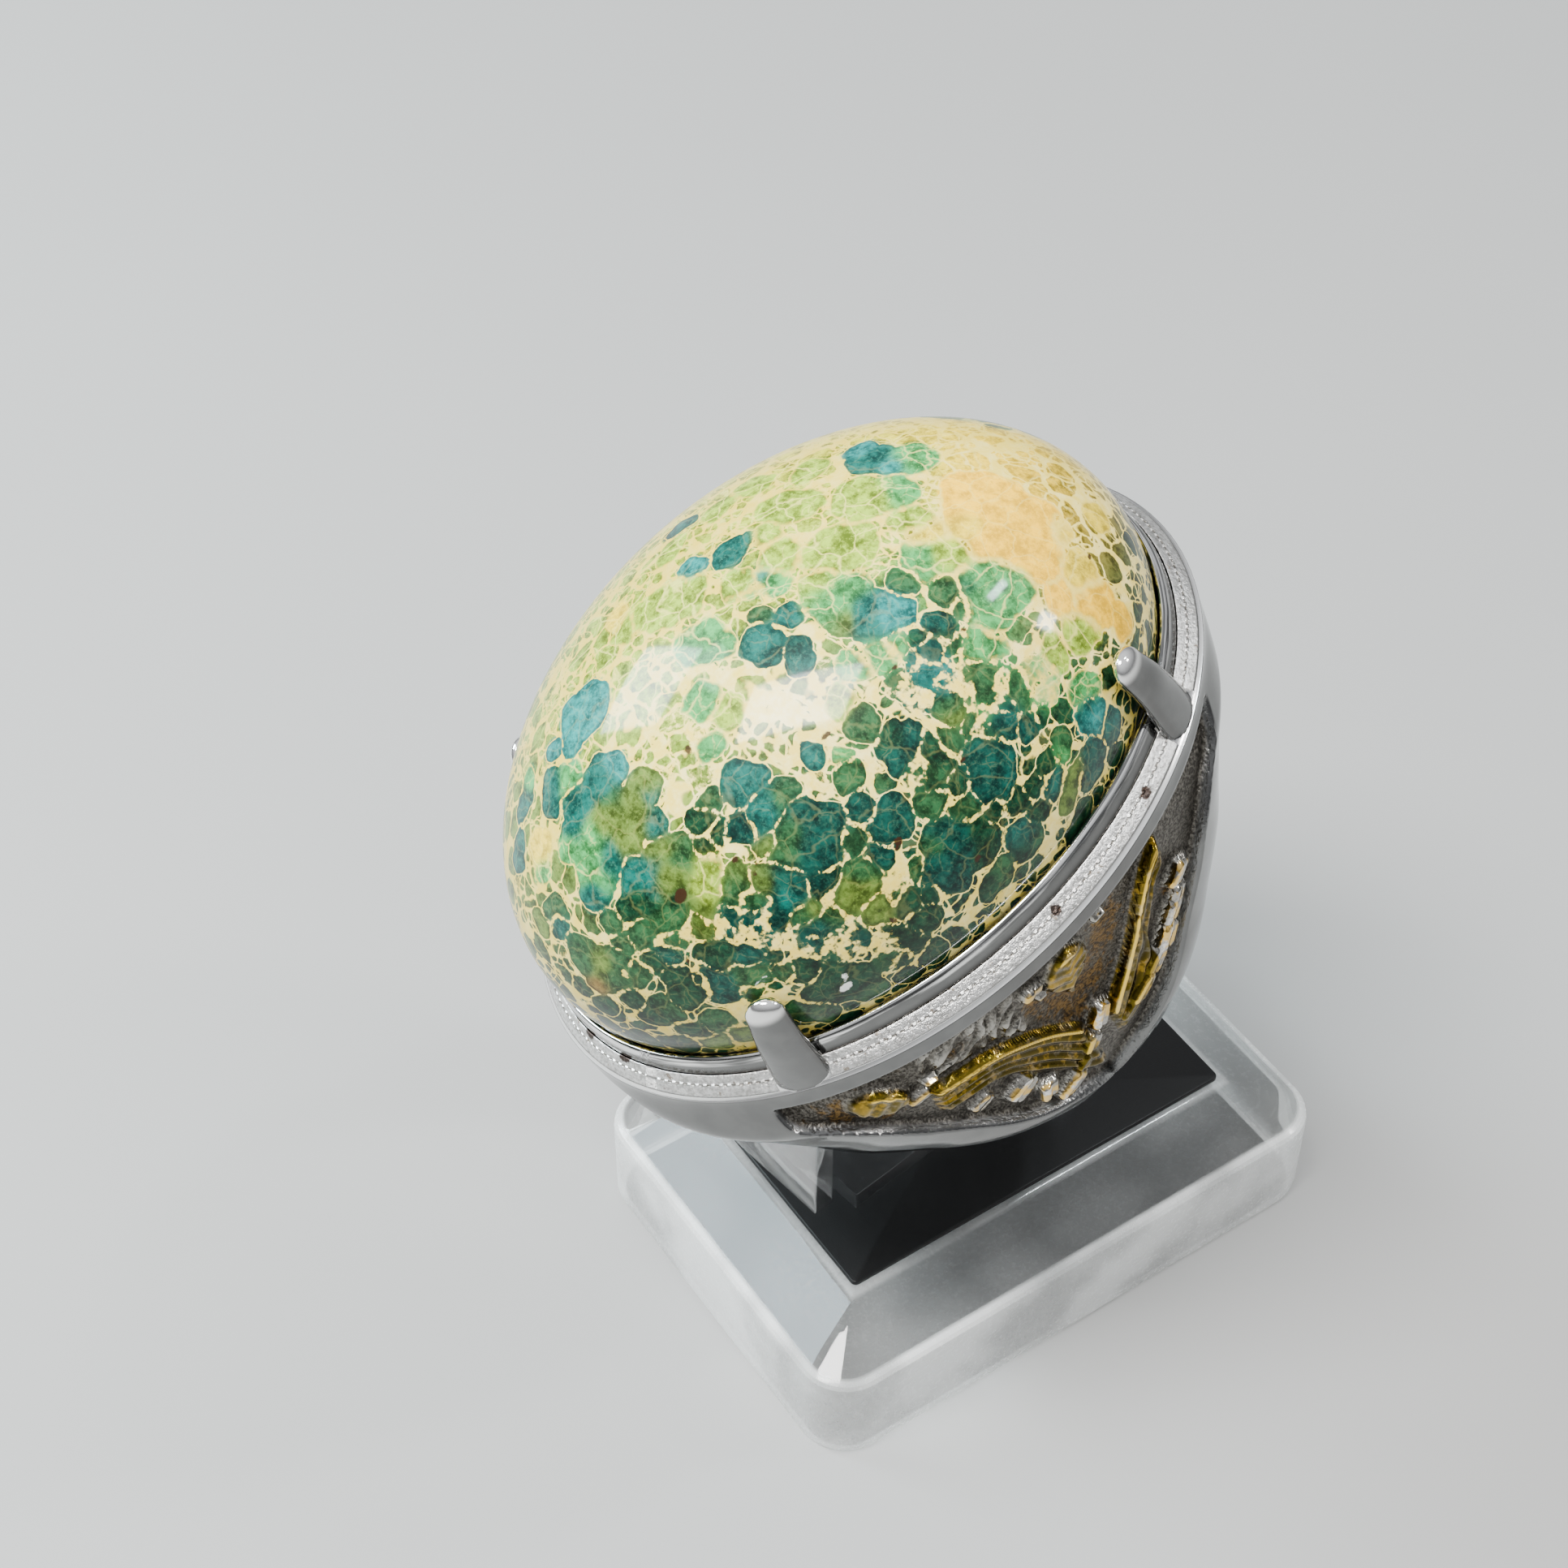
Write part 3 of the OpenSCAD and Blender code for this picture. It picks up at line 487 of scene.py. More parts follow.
MIXED_CELLS = [
    {"sea": [(-99, 50, 0.67), (-97, 48, 0.47)], "mint": [(-96, 54, 0.59)]}, {"sea": [(-84, 52, 0.78),
    (-81, 57, 0.86), (-56, 52, 0.55), (-59, 57, 0.35), (-69, 45, 0.78), (-70, 38, 0.59),
    (-84, 48, 0.47)], "sky": [(-77, 60, 0.55)], "moss": [(-75, 55, 0.71)], "olive": [(-72, 52, 0.94),
    (-63, 54, 0.86), (-62, 59, 0.55), (-64, 49, 0.78), (-60, 47, 0.55)], "mint": [(-74, 46, 0.86),
    (-71, 42, 0.71), (-82, 45, 0.55)]}, {"mint": [(-112, 44, 0.35)], "sea": [(-109, 42, 0.43),
    (-107, 40, 0.35)]}, {"straw": [(-93, 40, 0.59)], "mint": [(-90, 37, 0.39)]},
    {"olive": [(-56, 47, 0.47), (-52, 47, 0.63), (-51, 41, 1.18), (-45, 35, 0.71)],
    "moss": [(-48, 45, 0.86), (-52, 34, 1.18)], "sea": [(-56, 42, 1.1), (-61, 42, 0.47)],
    "lime": [(-42, 42, 0.71), (-43, 38, 0.63)], "pine": [(-50, 37, 1.02), (-57, 36, 1.02)]},
    {"moss": [(-57, 32, 0.78), (-51, 31, 0.78)], "olive": [(-46, 32, 0.65)]}, {"sea": [(-25, 48, 0.82),
    (-26, 46, 0.47)], "moss": [(-22, 48, 0.71)]}, {"deep": [(-19, 43, 0.71), (-17, 39, 0.86),
    (-14, 39, 0.55), (-15, 35, 0.67), (-20, 36, 0.71), (-19, 35, 0.63)], "moss": [(-22, 42, 0.71),
    (-24, 39, 0.63)]}, {"pine": [(4, 43, 0.59)], "deep": [(7, 41, 0.47), (3, 39, 0.55)],
    "sea": [(3, 42, 0.39)]}, {"moss": [(-36, 37, 0.67), (-37, 34, 0.47)], "olive": [(-35, 38, 0.47)]},
    {"deep": [(-28, 34, 0.71), (-31, 28, 0.71), (-26, 32, 0.55)], "olive": [(-30, 36, 0.55)],
    "sea": [(-28, 30, 0.78)]}, {"deep": [(-20, 29, 0.63), (-22, 28, 0.39)], "pine": [(-19, 30, 0.39)]},
    {"moss": [(-15, 26, 0.71)], "olive": [(-18, 24, 0.86), (-16, 23, 0.63), (-19, 23, 0.55)]},
    {"moss": [(-34, 32, 0.63)], "deep": [(-38, 29, 0.78), (-35, 26, 0.71), (-39, 28, 0.47),
    (-33, 29, 0.47)]}, {"moss": [(-27, 25, 0.47)], "olive": [(-25, 25, 0.47)]},
    {"deep": [(-25, 20, 0.86), (-21, 14, 0.63), (-27, 18, 0.55)], "pine": [(-23, 16, 0.86)],
    "moss": [(-23, 22, 0.55)]}, {"pine": [(-16, 6, 0.94), (-15, 3, 0.71)], "moss": [(-18, 4, 0.63)]},
    {"sea": [(20, 46, 0.71), (19, 43, 0.55)], "moss": [(17, 40, 0.71)], "olive": [(16, 37, 0.55)],
    "sky": [(21, 46, 0.71)]}, {"moss": [(22, 37, 0.71)], "mint": [(20, 34, 0.47)],
    "olive": [(23, 38, 0.47)]}, {"mint": [(25, 32, 0.51)], "sea": [(23, 29, 0.39)]},
    {"sea": [(20, 28, 0.47)], "deep": [(18, 27, 0.47)], "moss": [(16, 28, 0.31)]},
    {"sky": [(29, 8, 0.63)], "sea": [(29, 10, 0.39)]}, {"sea": [(31, 2, 0.51)],
    "deep": [(30, 0, 0.39)]}, {"pine": [(8, 35, 0.63), (4, 31, 0.47), (3, 35, 0.35), (4, 36, 0.31)],
    "moss": [(5, 33, 0.63)]}, {"deep": [(13, 27, 0.78), (12, 24, 0.86), (10, 24, 0.67), (10, 20, 0.71),
    (9, 20, 0.47)], "sea": [(12, 20, 0.39)]}, {"moss": [(23, 13, 0.43)], "mint": [(21, 11, 0.31)]},
    {"sea": [(17, 8, 0.39)], "deep": [(16, 7, 0.27)]}, {"deep": [(0, 20, 0.94), (-1, 16, 0.94),
    (-4, 15, 0.86), (-4, 12, 0.71)], "moss": [(-3, 20, 0.47)], "pine": [(3, 17, 0.47), (4, 12, 0.63),
    (2, 11, 0.55)]}, {"sea": [(8, 7, 0.39)], "deep": [(8, 4, 0.67)], "pine": [(7, 2, 0.47)],
    "moss": [(9, 2, 0.39)]}, {"moss": [(2, 2, 0.63)], "pine": [(0, 2, 0.47)]},
    {"moss": [(-73, 24, 0.78), (-66, 19, 0.65), (-64, 24, 0.59)], "olive": [(-69, 22, 0.78)],
    "rust": [(-70, 19, 0.52)]}, {"pine": [(-42, 24, 0.81)], "deep": [(-38, 22, 0.72)]},
    {"deep": [(-44, 18, 0.72), (-45, 15, 0.52)], "moss": [(-39, 17, 0.78)]}, {"pine": [(-59, 11, 0.78)],
    "moss": [(-56, 11, 0.65)]}, {"deep": [(-26, 18, 0.72), (-22, 14, 0.65)], "moss": [(-23, 16, 0.78)],
    "pine": [(-28, 18, 0.39)]}, {"pine": [(-27, 6, 0.92), (-25, 2, 0.98), (-30, 5, 0.65)],
    "moss": [(-24, -2, 0.65)]}, {"sea": [(106, 55, 0.91)], "sky": [(97, 54, 0.7), (113, 53, 0.58)],
    "mint": [(95, 51, 0.93)]}, {"mint": [(61, 81, 0.58)], "sky": [(76, 82, 0.41)]},
    {"mint": [(35, 69, 1.2), (42, 68, 0.83)], "lime": [(42, 72, 0.83)], "sea": [(31, 63, 0.91),
    (26, 60, 0.74)], "sky": [(31, 59, 1.03), (34, 58, 0.62)], "olive": [(26, 66, 0.62)]},
    {"sea": [(-3, 76, 0.7)], "deep": [(-1, 73, 0.45)]}, {"deep": [(6, 70, 0.41)],
    "sea": [(3, 67, 0.41)]}, {"deep": [(32, 49, 0.5)], "pine": [(30, 47, 0.37)]},
    {"deep": [(23, 47, 0.66)], "sea": [(20, 44, 0.54), (21, 49, 0.37)]}, {"mint": [(44, 42, 1.24),
    (40, 42, 1.03), (44, 38, 0.62)], "sea": [(43, 45, 0.62)]}, {"moss": [(25, 29, 0.83)],
    "deep": [(22, 29, 0.5)]}, {"lime": [(88, 63, 1.24)], "mint": [(85, 59, 0.91)]},
    {"mint": [(51, 55, 0.91)], "lime": [(52, 52, 0.83)]}, {"amber": [(68, 44, 1.86), (61, 38, 1.86),
    (58, 43, 1.24), (53, 35, 1.03)], "straw": [(63, 47, 1.03)]},
]
# Brown specks and white chips: degrees round, degrees up, radius
SPECKS = [
    (-48, 37, 0.3), (-34, 41, 0.13), (-7, 27, 0.16), (-8, 26, 0.11), (-46, 63, 0.16), (-7, 53, 0.16),
    (10, 30, 0.11), (-6, 24, 0.13), (-78, 38, 0.11), (-37, 40, 0.09), (-14, 13, 0.17), (1, 11, 0.16),
    (50, 68, 0.08), (17, 53, 0.14), (33, 45, 0.1), (-6, 53, 0.14), (-30, 40, 0.09), (-48, 24, 0.12),
    (-81, 17, 0.12), (56, 22, 0.14), (-9, 49, 0.08), (-4, 44, 0.09), (-31, 38, 0.11)]
CHIPS = [(-25.9, 6.4, 0.14), (-26.2, 2.8, 0.26), (-26.1, 5.3, 0.1)]
# Broad zones between the cells: degrees round, degrees up, reach, tint, how creamy, how yellow
ZONES = [
    (-20, 62, 3.2, "olive", 0.95, 0.0), (-60, 70, 4.0, "lime", 0.45, 0.1), (-45, 52, 3.0, "olive", 0.4, 0.0),
    (0, 50, 3.2, "moss", 0.35, 0.0), (20, 30, 4.0, "pine", 0.05, 0.0), (-20, 20, 4.0, "deep", 0.05, 0.0),
    (-60, 10, 5.0, "pine", 0.05, 0.3), (-15, -8, 6.0, "pine", 0.05, 0.05), (30, -6, 5.0, "pine", 0.05, 0.05),
    (60, 15, 4.0, "pine", 0.1, 0.1), (45, 50, 3.5, "mint", 0.2, 0.1), (90, 65, 5.0, "lime", 0.2, 0.45),
    (75, 40, 4.0, "amber", 0.45, 0.2), (100, 30, 4.0, "straw", 0.2, 0.7), (-100, 45, 4.0, "olive", 0.2, 0.6),
    (-130, 60, 5.0, "lime", 0.15, 0.7), (180, 60, 6.0, "lime", 0.15, 0.7), (150, 30, 8.0, "straw", 0.2, 0.7),
    (-150, 30, 8.0, "olive", 0.2, 0.7), (180, 5, 8.0, "moss", 0.2, 0.5)]
# How deep a cell reaches past its lobes, the width over which tints blend, the softness of
# borders between cells, and how far sines move the chart's places
CELL_MARGIN, TINT_BLEND, BORDER_SOFT, WAVE = 0.30, 0.16, 0.1, 0.13


def charted_cells():
    """The two charts as one list of cells, each a list of lobes (round, up, radius, tint)."""
    plain = [{tint: lobes} for tint, group in PLAIN_CELLS.items() for lobes in group]
    return [[(*lobe, tint) for tint, lobes in cell.items() for lobe in lobes]
            for cell in plain + MIXED_CELLS]


def guessed_cells():
    """Cells for the far side, which the photograph hides: seeded places, one to three lobes each."""
    draw = np.random.default_rng(11)
    cells = []
    for turn, up in zip(draw.uniform(96, 226, 80), draw.uniform(-12, 36, 80)):
        tints = ("lime", "mint", "olive") if up > 16 else ("moss", "pine", "deep", "sea", "olive")
        tint = tints[draw.integers(len(tints))]
        lobes = [(turn, up, draw.uniform(0.35, 0.95), tint)]
        for _ in range(draw.integers(0, 3)):
            lobes.append((turn + draw.uniform(-4, 4), up + draw.uniform(-3, 3), draw.uniform(0.3, 0.7), tint))
        cells.append(lobes)
    return cells


def dome(t, u):
    """Point of the stone at angles round and up: x = a cos u cos t, y = b cos u sin t, z = c sin u."""
    x, y = STONE_X * np.cos(u) * np.cos(t), STONE_Y * np.cos(u) * np.sin(t)
    return np.stack([x, y, np.broadcast_to(STONE_MID + STONE_Z * np.sin(u), x.shape)], -1)


def reach_of(points, round_degrees, up_degrees, radius=0.0):
    """Distances from every point to every charted place, less the place's radius."""
    places = dome(np.radians(round_degrees), np.radians(up_degrees)).astype(np.float32)
    points = points.astype(np.float32)
    square = (points ** 2).sum(1)[:, None] + (places ** 2).sum(1)[None, :] - 2.0 * points @ places.T
    return np.sqrt(np.maximum(square, 0.0)) - np.array(radius)


def stone_marks(points):
    """What the stone's finish reads at each point.

    A lobe's value is the distance to its middle less its radius, and a cell's is the least of
    its lobes'. The cell mark is the depth inside the nearest cell, or half the gap to the next
    nearest where that is less, rounded at the border by sqrt(g^2 + s^2) - s; outside all cells
    it is below zero. The tint is the mean of the lobes' tints, each weighted by how near it is,
    and turns to the mean of the zones' tints outside. The points are moved a little by sines
    first, so that the cells aren't round.
    """
    x, y, z = points.T
    wave = np.stack([np.sin(2.1 * y + 1.3 * z) + 0.6 * np.sin(4.7 * z - 3.1 * x),
                     np.sin(2.3 * z + 1.1 * x) + 0.6 * np.sin(4.3 * x + 3.3 * y),
                     np.sin(2.2 * x + 1.7 * y) + 0.6 * np.sin(4.9 * y - 2.9 * z)], -1)
    moved = points + WAVE * wave
    cells = charted_cells() + guessed_cells()
    starts = np.cumsum([0] + [len(cell) for cell in cells[:-1]])
    turn, up, radius, names = zip(*[lobe for cell in cells for lobe in cell])
    depth = reach_of(moved, turn, up, radius)
    two = np.partition(np.minimum.reduceat(depth, starts, axis=1), 1, axis=1)
    nearest, gap = two[:, :1], 0.5 * (two[:, 1] - two[:, 0])
    border = np.sqrt(gap ** 2 + BORDER_SOFT ** 2) - BORDER_SOFT
    inner = np.minimum(CELL_MARGIN - two[:, 0], border)
    weight = np.exp(-np.clip(depth - nearest, 0.0, 20.0) / TINT_BLEND)
    tint = weight @ np.array([TINTS[n] for n in names]) / weight.sum(1)[:, None]
    turn, up, reach, names, creams, shades = zip(*ZONES)
    near = np.exp(-(reach_of(points, turn, up) / np.array(reach)) ** 2) + 1e-9
    near /= near.sum(1)[:, None]
    outside = ease(-inner / 0.15)[:, None]
    tint = tint * (1.0 - outside) + outside * (near @ np.array([TINTS[n] for n in names]))
    return {"cell": inner, "tint": np.column_stack([tint, np.ones(len(tint))]),
            "speck": reach_of(moved, *zip(*SPECKS)).min(1), "chip": reach_of(moved, *zip(*CHIPS)).min(1),
            "cream": near @ np.array(creams), "shade": near @ np.array(shades)}


def make_cabochon():
    """The stone: ovals stacked from the seat to the crown."""
    low = math.asin((LEDGE_Z + SEAT_FLOOR + STONE_GAP - STONE_MID) / STONE_Z)
    u = np.concatenate([np.linspace(low, math.radians(87), 166), np.radians([87.8, 88.6, 89.4])])
    levels = dome(2 * np.pi * np.arange(560)[None, :] / 560, u[:, None])
    marks = stone_marks(loft(levels)[0])
    stone = hung_loft("cabochon", levels, marks, sharp=60)
    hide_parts("stone")
    return stone


# ---------------------------------------------------------------- stand
def rounded_rectangle(half_x, half_y, radius, per_corner):
    """Points round a rectangle with round corners, anticlockwise."""
    g = np.radians(np.linspace(0, 90, per_corner))
    points = []
    for k, (cx, cy) in enumerate(((1, 1), (-1, 1), (-1, -1), (1, -1))):
        a = g + k * np.pi / 2
        points.append(np.stack([cx * (half_x - radius) + radius * np.cos(a),
                                cy * (half_y - radius) + radius * np.sin(a)], -1))
    return np.concatenate(points)


def rectangle_stack(profile, half_x, half_y, corner, per_corner=12):
    """Levels of a block: each row (inset, height) of the profile draws the rectangle in by inset."""
    levels = []
    for inset, z in profile:
        ring = rounded_rectangle(half_x - inset, half_y - inset, max(corner - inset, 0.05), per_corner)
        levels.append(np.column_stack([ring, np.full(len(ring), z)]))
    return np.stack(levels)


def make_stand_block():
    """Clear block: upright sides, a wide sloping edge, a flat top, all edges a little worn."""
    # distance in from the sides, height
    profile = [(0.45, 0.0), (0.2, 0.06), (0.06, 0.2), (0.0, 0.45), (0.0, 5.45), (0.05, 5.66),
               (0.2, 5.82), (0.4, 5.93), (0.62, 6.03), (3.65, 7.43), (3.9, 7.55), (4.1, 7.62),
               (4.35, BLOCK_TOP), (4.6, BLOCK_TOP)]
    points, faces = loft(rectangle_stack(profile, BLOCK_X, BLOCK_Y, BLOCK_CORNER))
    z = points[:, 2]
    rim = np.interp(z, [7.43, 7.5, 7.62, BLOCK_TOP], [0.0, 0.45, 0.3, 0.0])
    frost = np.maximum(ease((6.03 - z) / 0.1), rim)
    block = mesh("clear_block", points, faces, {"frost": frost}, sharp=18)
    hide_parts("stand_base")
    return block


def make_pad():
    """Dark pad: a thin slab with eased edges on the block's top."""
    profile = [(0.0, BLOCK_TOP), (0.0, PAD_TOP - 0.06), (0.03, PAD_TOP - 0.02), (0.08, PAD_TOP)]
    points, faces = loft(rectangle_stack(profile, PAD_X, PAD_Y, PAD_CORNER, 6))
    pad = mesh("dark_pad", points, faces, sharp=35)
    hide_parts("stand_pad")
    return pad


def make_clip():
    """Clear strip: a rounded bar section carried along foot, bend, side, top bend and free arm.

    The path is the strip's middle line, straight runs and arcs x = r sin g or r cos g; each
    section lies across it, turned to the path's slope.
    """
    half = CLIP_THICK / 2
    low, mid, foot_z = CLIP_FLOOR + CLIP_R, CLIP_R - half, CLIP_FLOOR + half
    path = [(-CLIP_FOOT, foot_z)]
    path += [(x, foot_z) for x in np.linspace(0.6 - CLIP_FOOT, 0.0, 6)]
    path += [(mid * math.sin(g), low - mid * math.cos(g)) for g in np.radians(np.arange(4, 90, 4))]
    path += [(mid, z) for z in np.linspace(low, CLIP_HIGH, 4)]
    path += [(mid * math.cos(g), CLIP_HIGH + mid * math.sin(g)) for g in np.radians(np.arange(4, 180, 4))]
    path += [(-mid, z) for z in np.linspace(CLIP_HIGH, CLIP_END, 9)]
    path = np.array(path)
    along = np.gradient(path, axis=0)
    along /= np.linalg.norm(along, axis=1, keepdims=True)
    out = np.stack([along[:, 1], -along[:, 0]], -1)
    across, up = rounded_rectangle(CLIP_WIDTH / 2, half, 0.1, 4).T
    flat = path[:, None, :] + up[None, :, None] * out[:, None, :]
    levels = np.stack([flat[..., 0], np.broadcast_to(across, flat.shape[:2]), flat[..., 1]], -1)
    points, faces = loft(levels)
    points = points @ turn_matrix([("z", CLIP_TURN)]).T + CLIP_PLACE
    clip = mesh("clear_clip", points, faces, {"frost": np.zeros(len(points))}, sharp=35)
    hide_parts("ring_clip")
    return clip


ring_shell = make_ring_shell()
cabochon = make_cabochon()
clear_block = make_stand_block()
dark_pad = make_pad()
clear_clip = make_clip()
for piece in (ring_shell, cabochon, clear_block, dark_pad, clear_clip):
    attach(piece, "root")


# ---------------------------------------------------------------- finishes
class Wire:
    """A value in a material. Its arithmetic adds Math nodes; a number alone stays a number."""

    def __init__(self, finish, socket):
        self.finish, self.socket = finish, socket

    def math(self, operation, *terms):
        return self.finish.add("Math", {"operation": operation}, dict(enumerate(terms)))

    def __add__(self, other): return self.math("ADD", self, other)
    def __radd__(self, other): return self.math("ADD", other, self)
    def __sub__(self, other): return self.math("SUBTRACT", self, other)
    def __rsub__(self, other): return self.math("SUBTRACT", other, self)
    def __mul__(self, other): return self.math("MULTIPLY", self, other)
    def __rmul__(self, other): return self.math("MULTIPLY", other, self)
    def __truediv__(self, other): return self.math("DIVIDE", self, other)
    def __rtruediv__(self, other): return self.math("DIVIDE", other, self)
    def __abs__(self): return self.math("ABSOLUTE", self)
    def least(self, other): return self.math("MINIMUM", self, other)
    def most(self, other): return self.math("MAXIMUM", self, other)
    def sine(self): return self.math("SINE", self)

    def step(self, low, high):
        """Smooth step: 0 at low, 1 at high, either way round."""
        rise = self.finish.add("MapRange", {"interpolation_type": "SMOOTHSTEP"},
                               {0: self, 1: min(low, high), 2: max(low, high), 3: 0.0, 4: 1.0})
        return 1.0 - rise if low > high else rise

    def band(self, middle, half):
        """1 at middle, falling to 0 at half away from it."""
        return abs(self - middle).step(half, 0.0)


class Finish:
    """A piece's material. Values that are the same all over are set on the shader itself."""

    def __init__(self, name, **constants):
        self.material = bpy.data.materials.new(name)
        self.material.use_nodes = True
        self.nodes, self.links = self.material.node_tree.nodes, self.material.node_tree.links
        self.shader = self.nodes["Principled BSDF"]
        for key, value in constants.items():
            self.shader.inputs[key.replace("_", " ")].default_value = value

    def add(self, kind, settings=None, inputs=None, out=0):
        """A node of any kind: its settings first, then its inputs' values or wires."""
        node = self.nodes.new("ShaderNode" + kind)
        for key, value in (settings or {}).items():
            setattr(node, key, value)
        for key, value in (inputs or {}).items():
            if isinstance(value, Wire):
                self.links.new(value.socket, node.inputs[key])
            else:
                node.inputs[key].default_value = value
        return Wire(self, node.outputs[out])

    def feed(self, socket, wire):
        """Links a wire to one of the shader's sockets."""
        self.links.new(wire.socket, self.shader.inputs[socket])

    def place(self):
        """Object coordinates in metres."""
        return self.add("TexCoord", out="Object")

    def ring_place(self):
        """Millimetres in the ring's own frame."""
        turn = Matrix(RING_TURN.tolist()).to_euler()
        return self.add("Mapping", {"vector_type": "TEXTURE"},
                        {"Vector": self.place(), "Location": tuple(HANG * MM), "Rotation": tuple(turn),
                         "Scale": (MM, MM, MM)})

    def stand_place(self):
        """Millimetres in the stand's frame."""
        return self.add("Mapping", {"vector_type": "TEXTURE"},
                        {"Vector": self.place(), "Scale": (MM, MM, MM)})

    def mark(self, name, out="Fac"):
        """One of the piece's marks, as the mesh carries it."""
        return self.add("Attribute", {"attribute_name": name}, out=out)

    def part(self, vector, axis):
        """One part of a vector or colour, by X, Y or Z."""
        return self.add("SeparateXYZ", inputs={0: vector}, out=axis)

    def noise(self, vector, scale, detail=2.0, rough=0.5, out="Fac"):
        """A cloudy noise around 0.5, with scale clouds to the millimetre."""
        return self.add("TexNoise", inputs={"Vector": vector, "Scale": scale, "Detail": detail,
                                            "Roughness": rough}, out=out)

    def cells(self, vector, scale, feature="F1", out="Distance"):
        """Cells round scattered points: distance to the point or to the cell's edge."""
        return self.add("TexVoronoi", {"feature": feature}, {"Vector": vector, "Scale": scale}, out)

    def shaken(self, vector, scale, amount):
        """The place moved about by a noise, up to half the amount each way."""
        moved = self.noise(vector, scale, out="Color")
        return self.add("VectorMath", {"operation": "MULTIPLY_ADD"}, {0: moved, 1: (amount,) * 3, 2: vector})

    def mix(self, amount, a, b, way="MIX"):
        """Colour a turned to colour b by an amount from 0 to 1."""
        a, b = [v if isinstance(v, Wire) else (*v, 1.0) for v in (a, b)]
        return self.add("Mix", {"data_type": "RGBA", "blend_type": way, "clamp_factor": True},
                        {0: amount, 6: a, 7: b}, 2)

    def layers(self, colour, *pairs):
        """Colours laid over a first one in turn, each by its own amount from 0 to 1."""
        for amount, over in pairs:
            colour = self.mix(amount, colour, over)
        return colour

    def bump(self, height, distance, strength):
        """A normal raised by height, times a distance in millimetres."""
        return self.add("Bump", inputs={"Height": height, "Distance": distance * MM,
                                        "Strength": strength}, out="Normal")

    def overlay(self, amount, colour, rough):
        """A second, matt skin over the first one, by an amount from 0 to 1."""
        output = self.nodes["Material Output"]
        skin = self.add("BsdfPrincipled", inputs={"Base Color": (*colour, 1.0), "Roughness": rough},
                        out="BSDF")
        base = Wire(self, self.shader.outputs["BSDF"])
        both = self.add("MixShader", inputs={0: amount, 1: base, 2: skin}, out="Shader")
        self.links.new(both.socket, output.inputs["Surface"])

    def on(self, piece):
        """Gives a piece this finish alone."""
        piece.data.materials.clear()
        piece.data.materials.append(self.material)


# Middles of four brown pits on the ledge, in the ring's own frame, and the gap of its dotted line
PITS = [(12.13, 7.74, 11.14), (13.41, 1.35, 11.23), (3.1, -16.42, 11.56), (0.69, -16.88, 11.56)]
DOT_GAP = 0.42


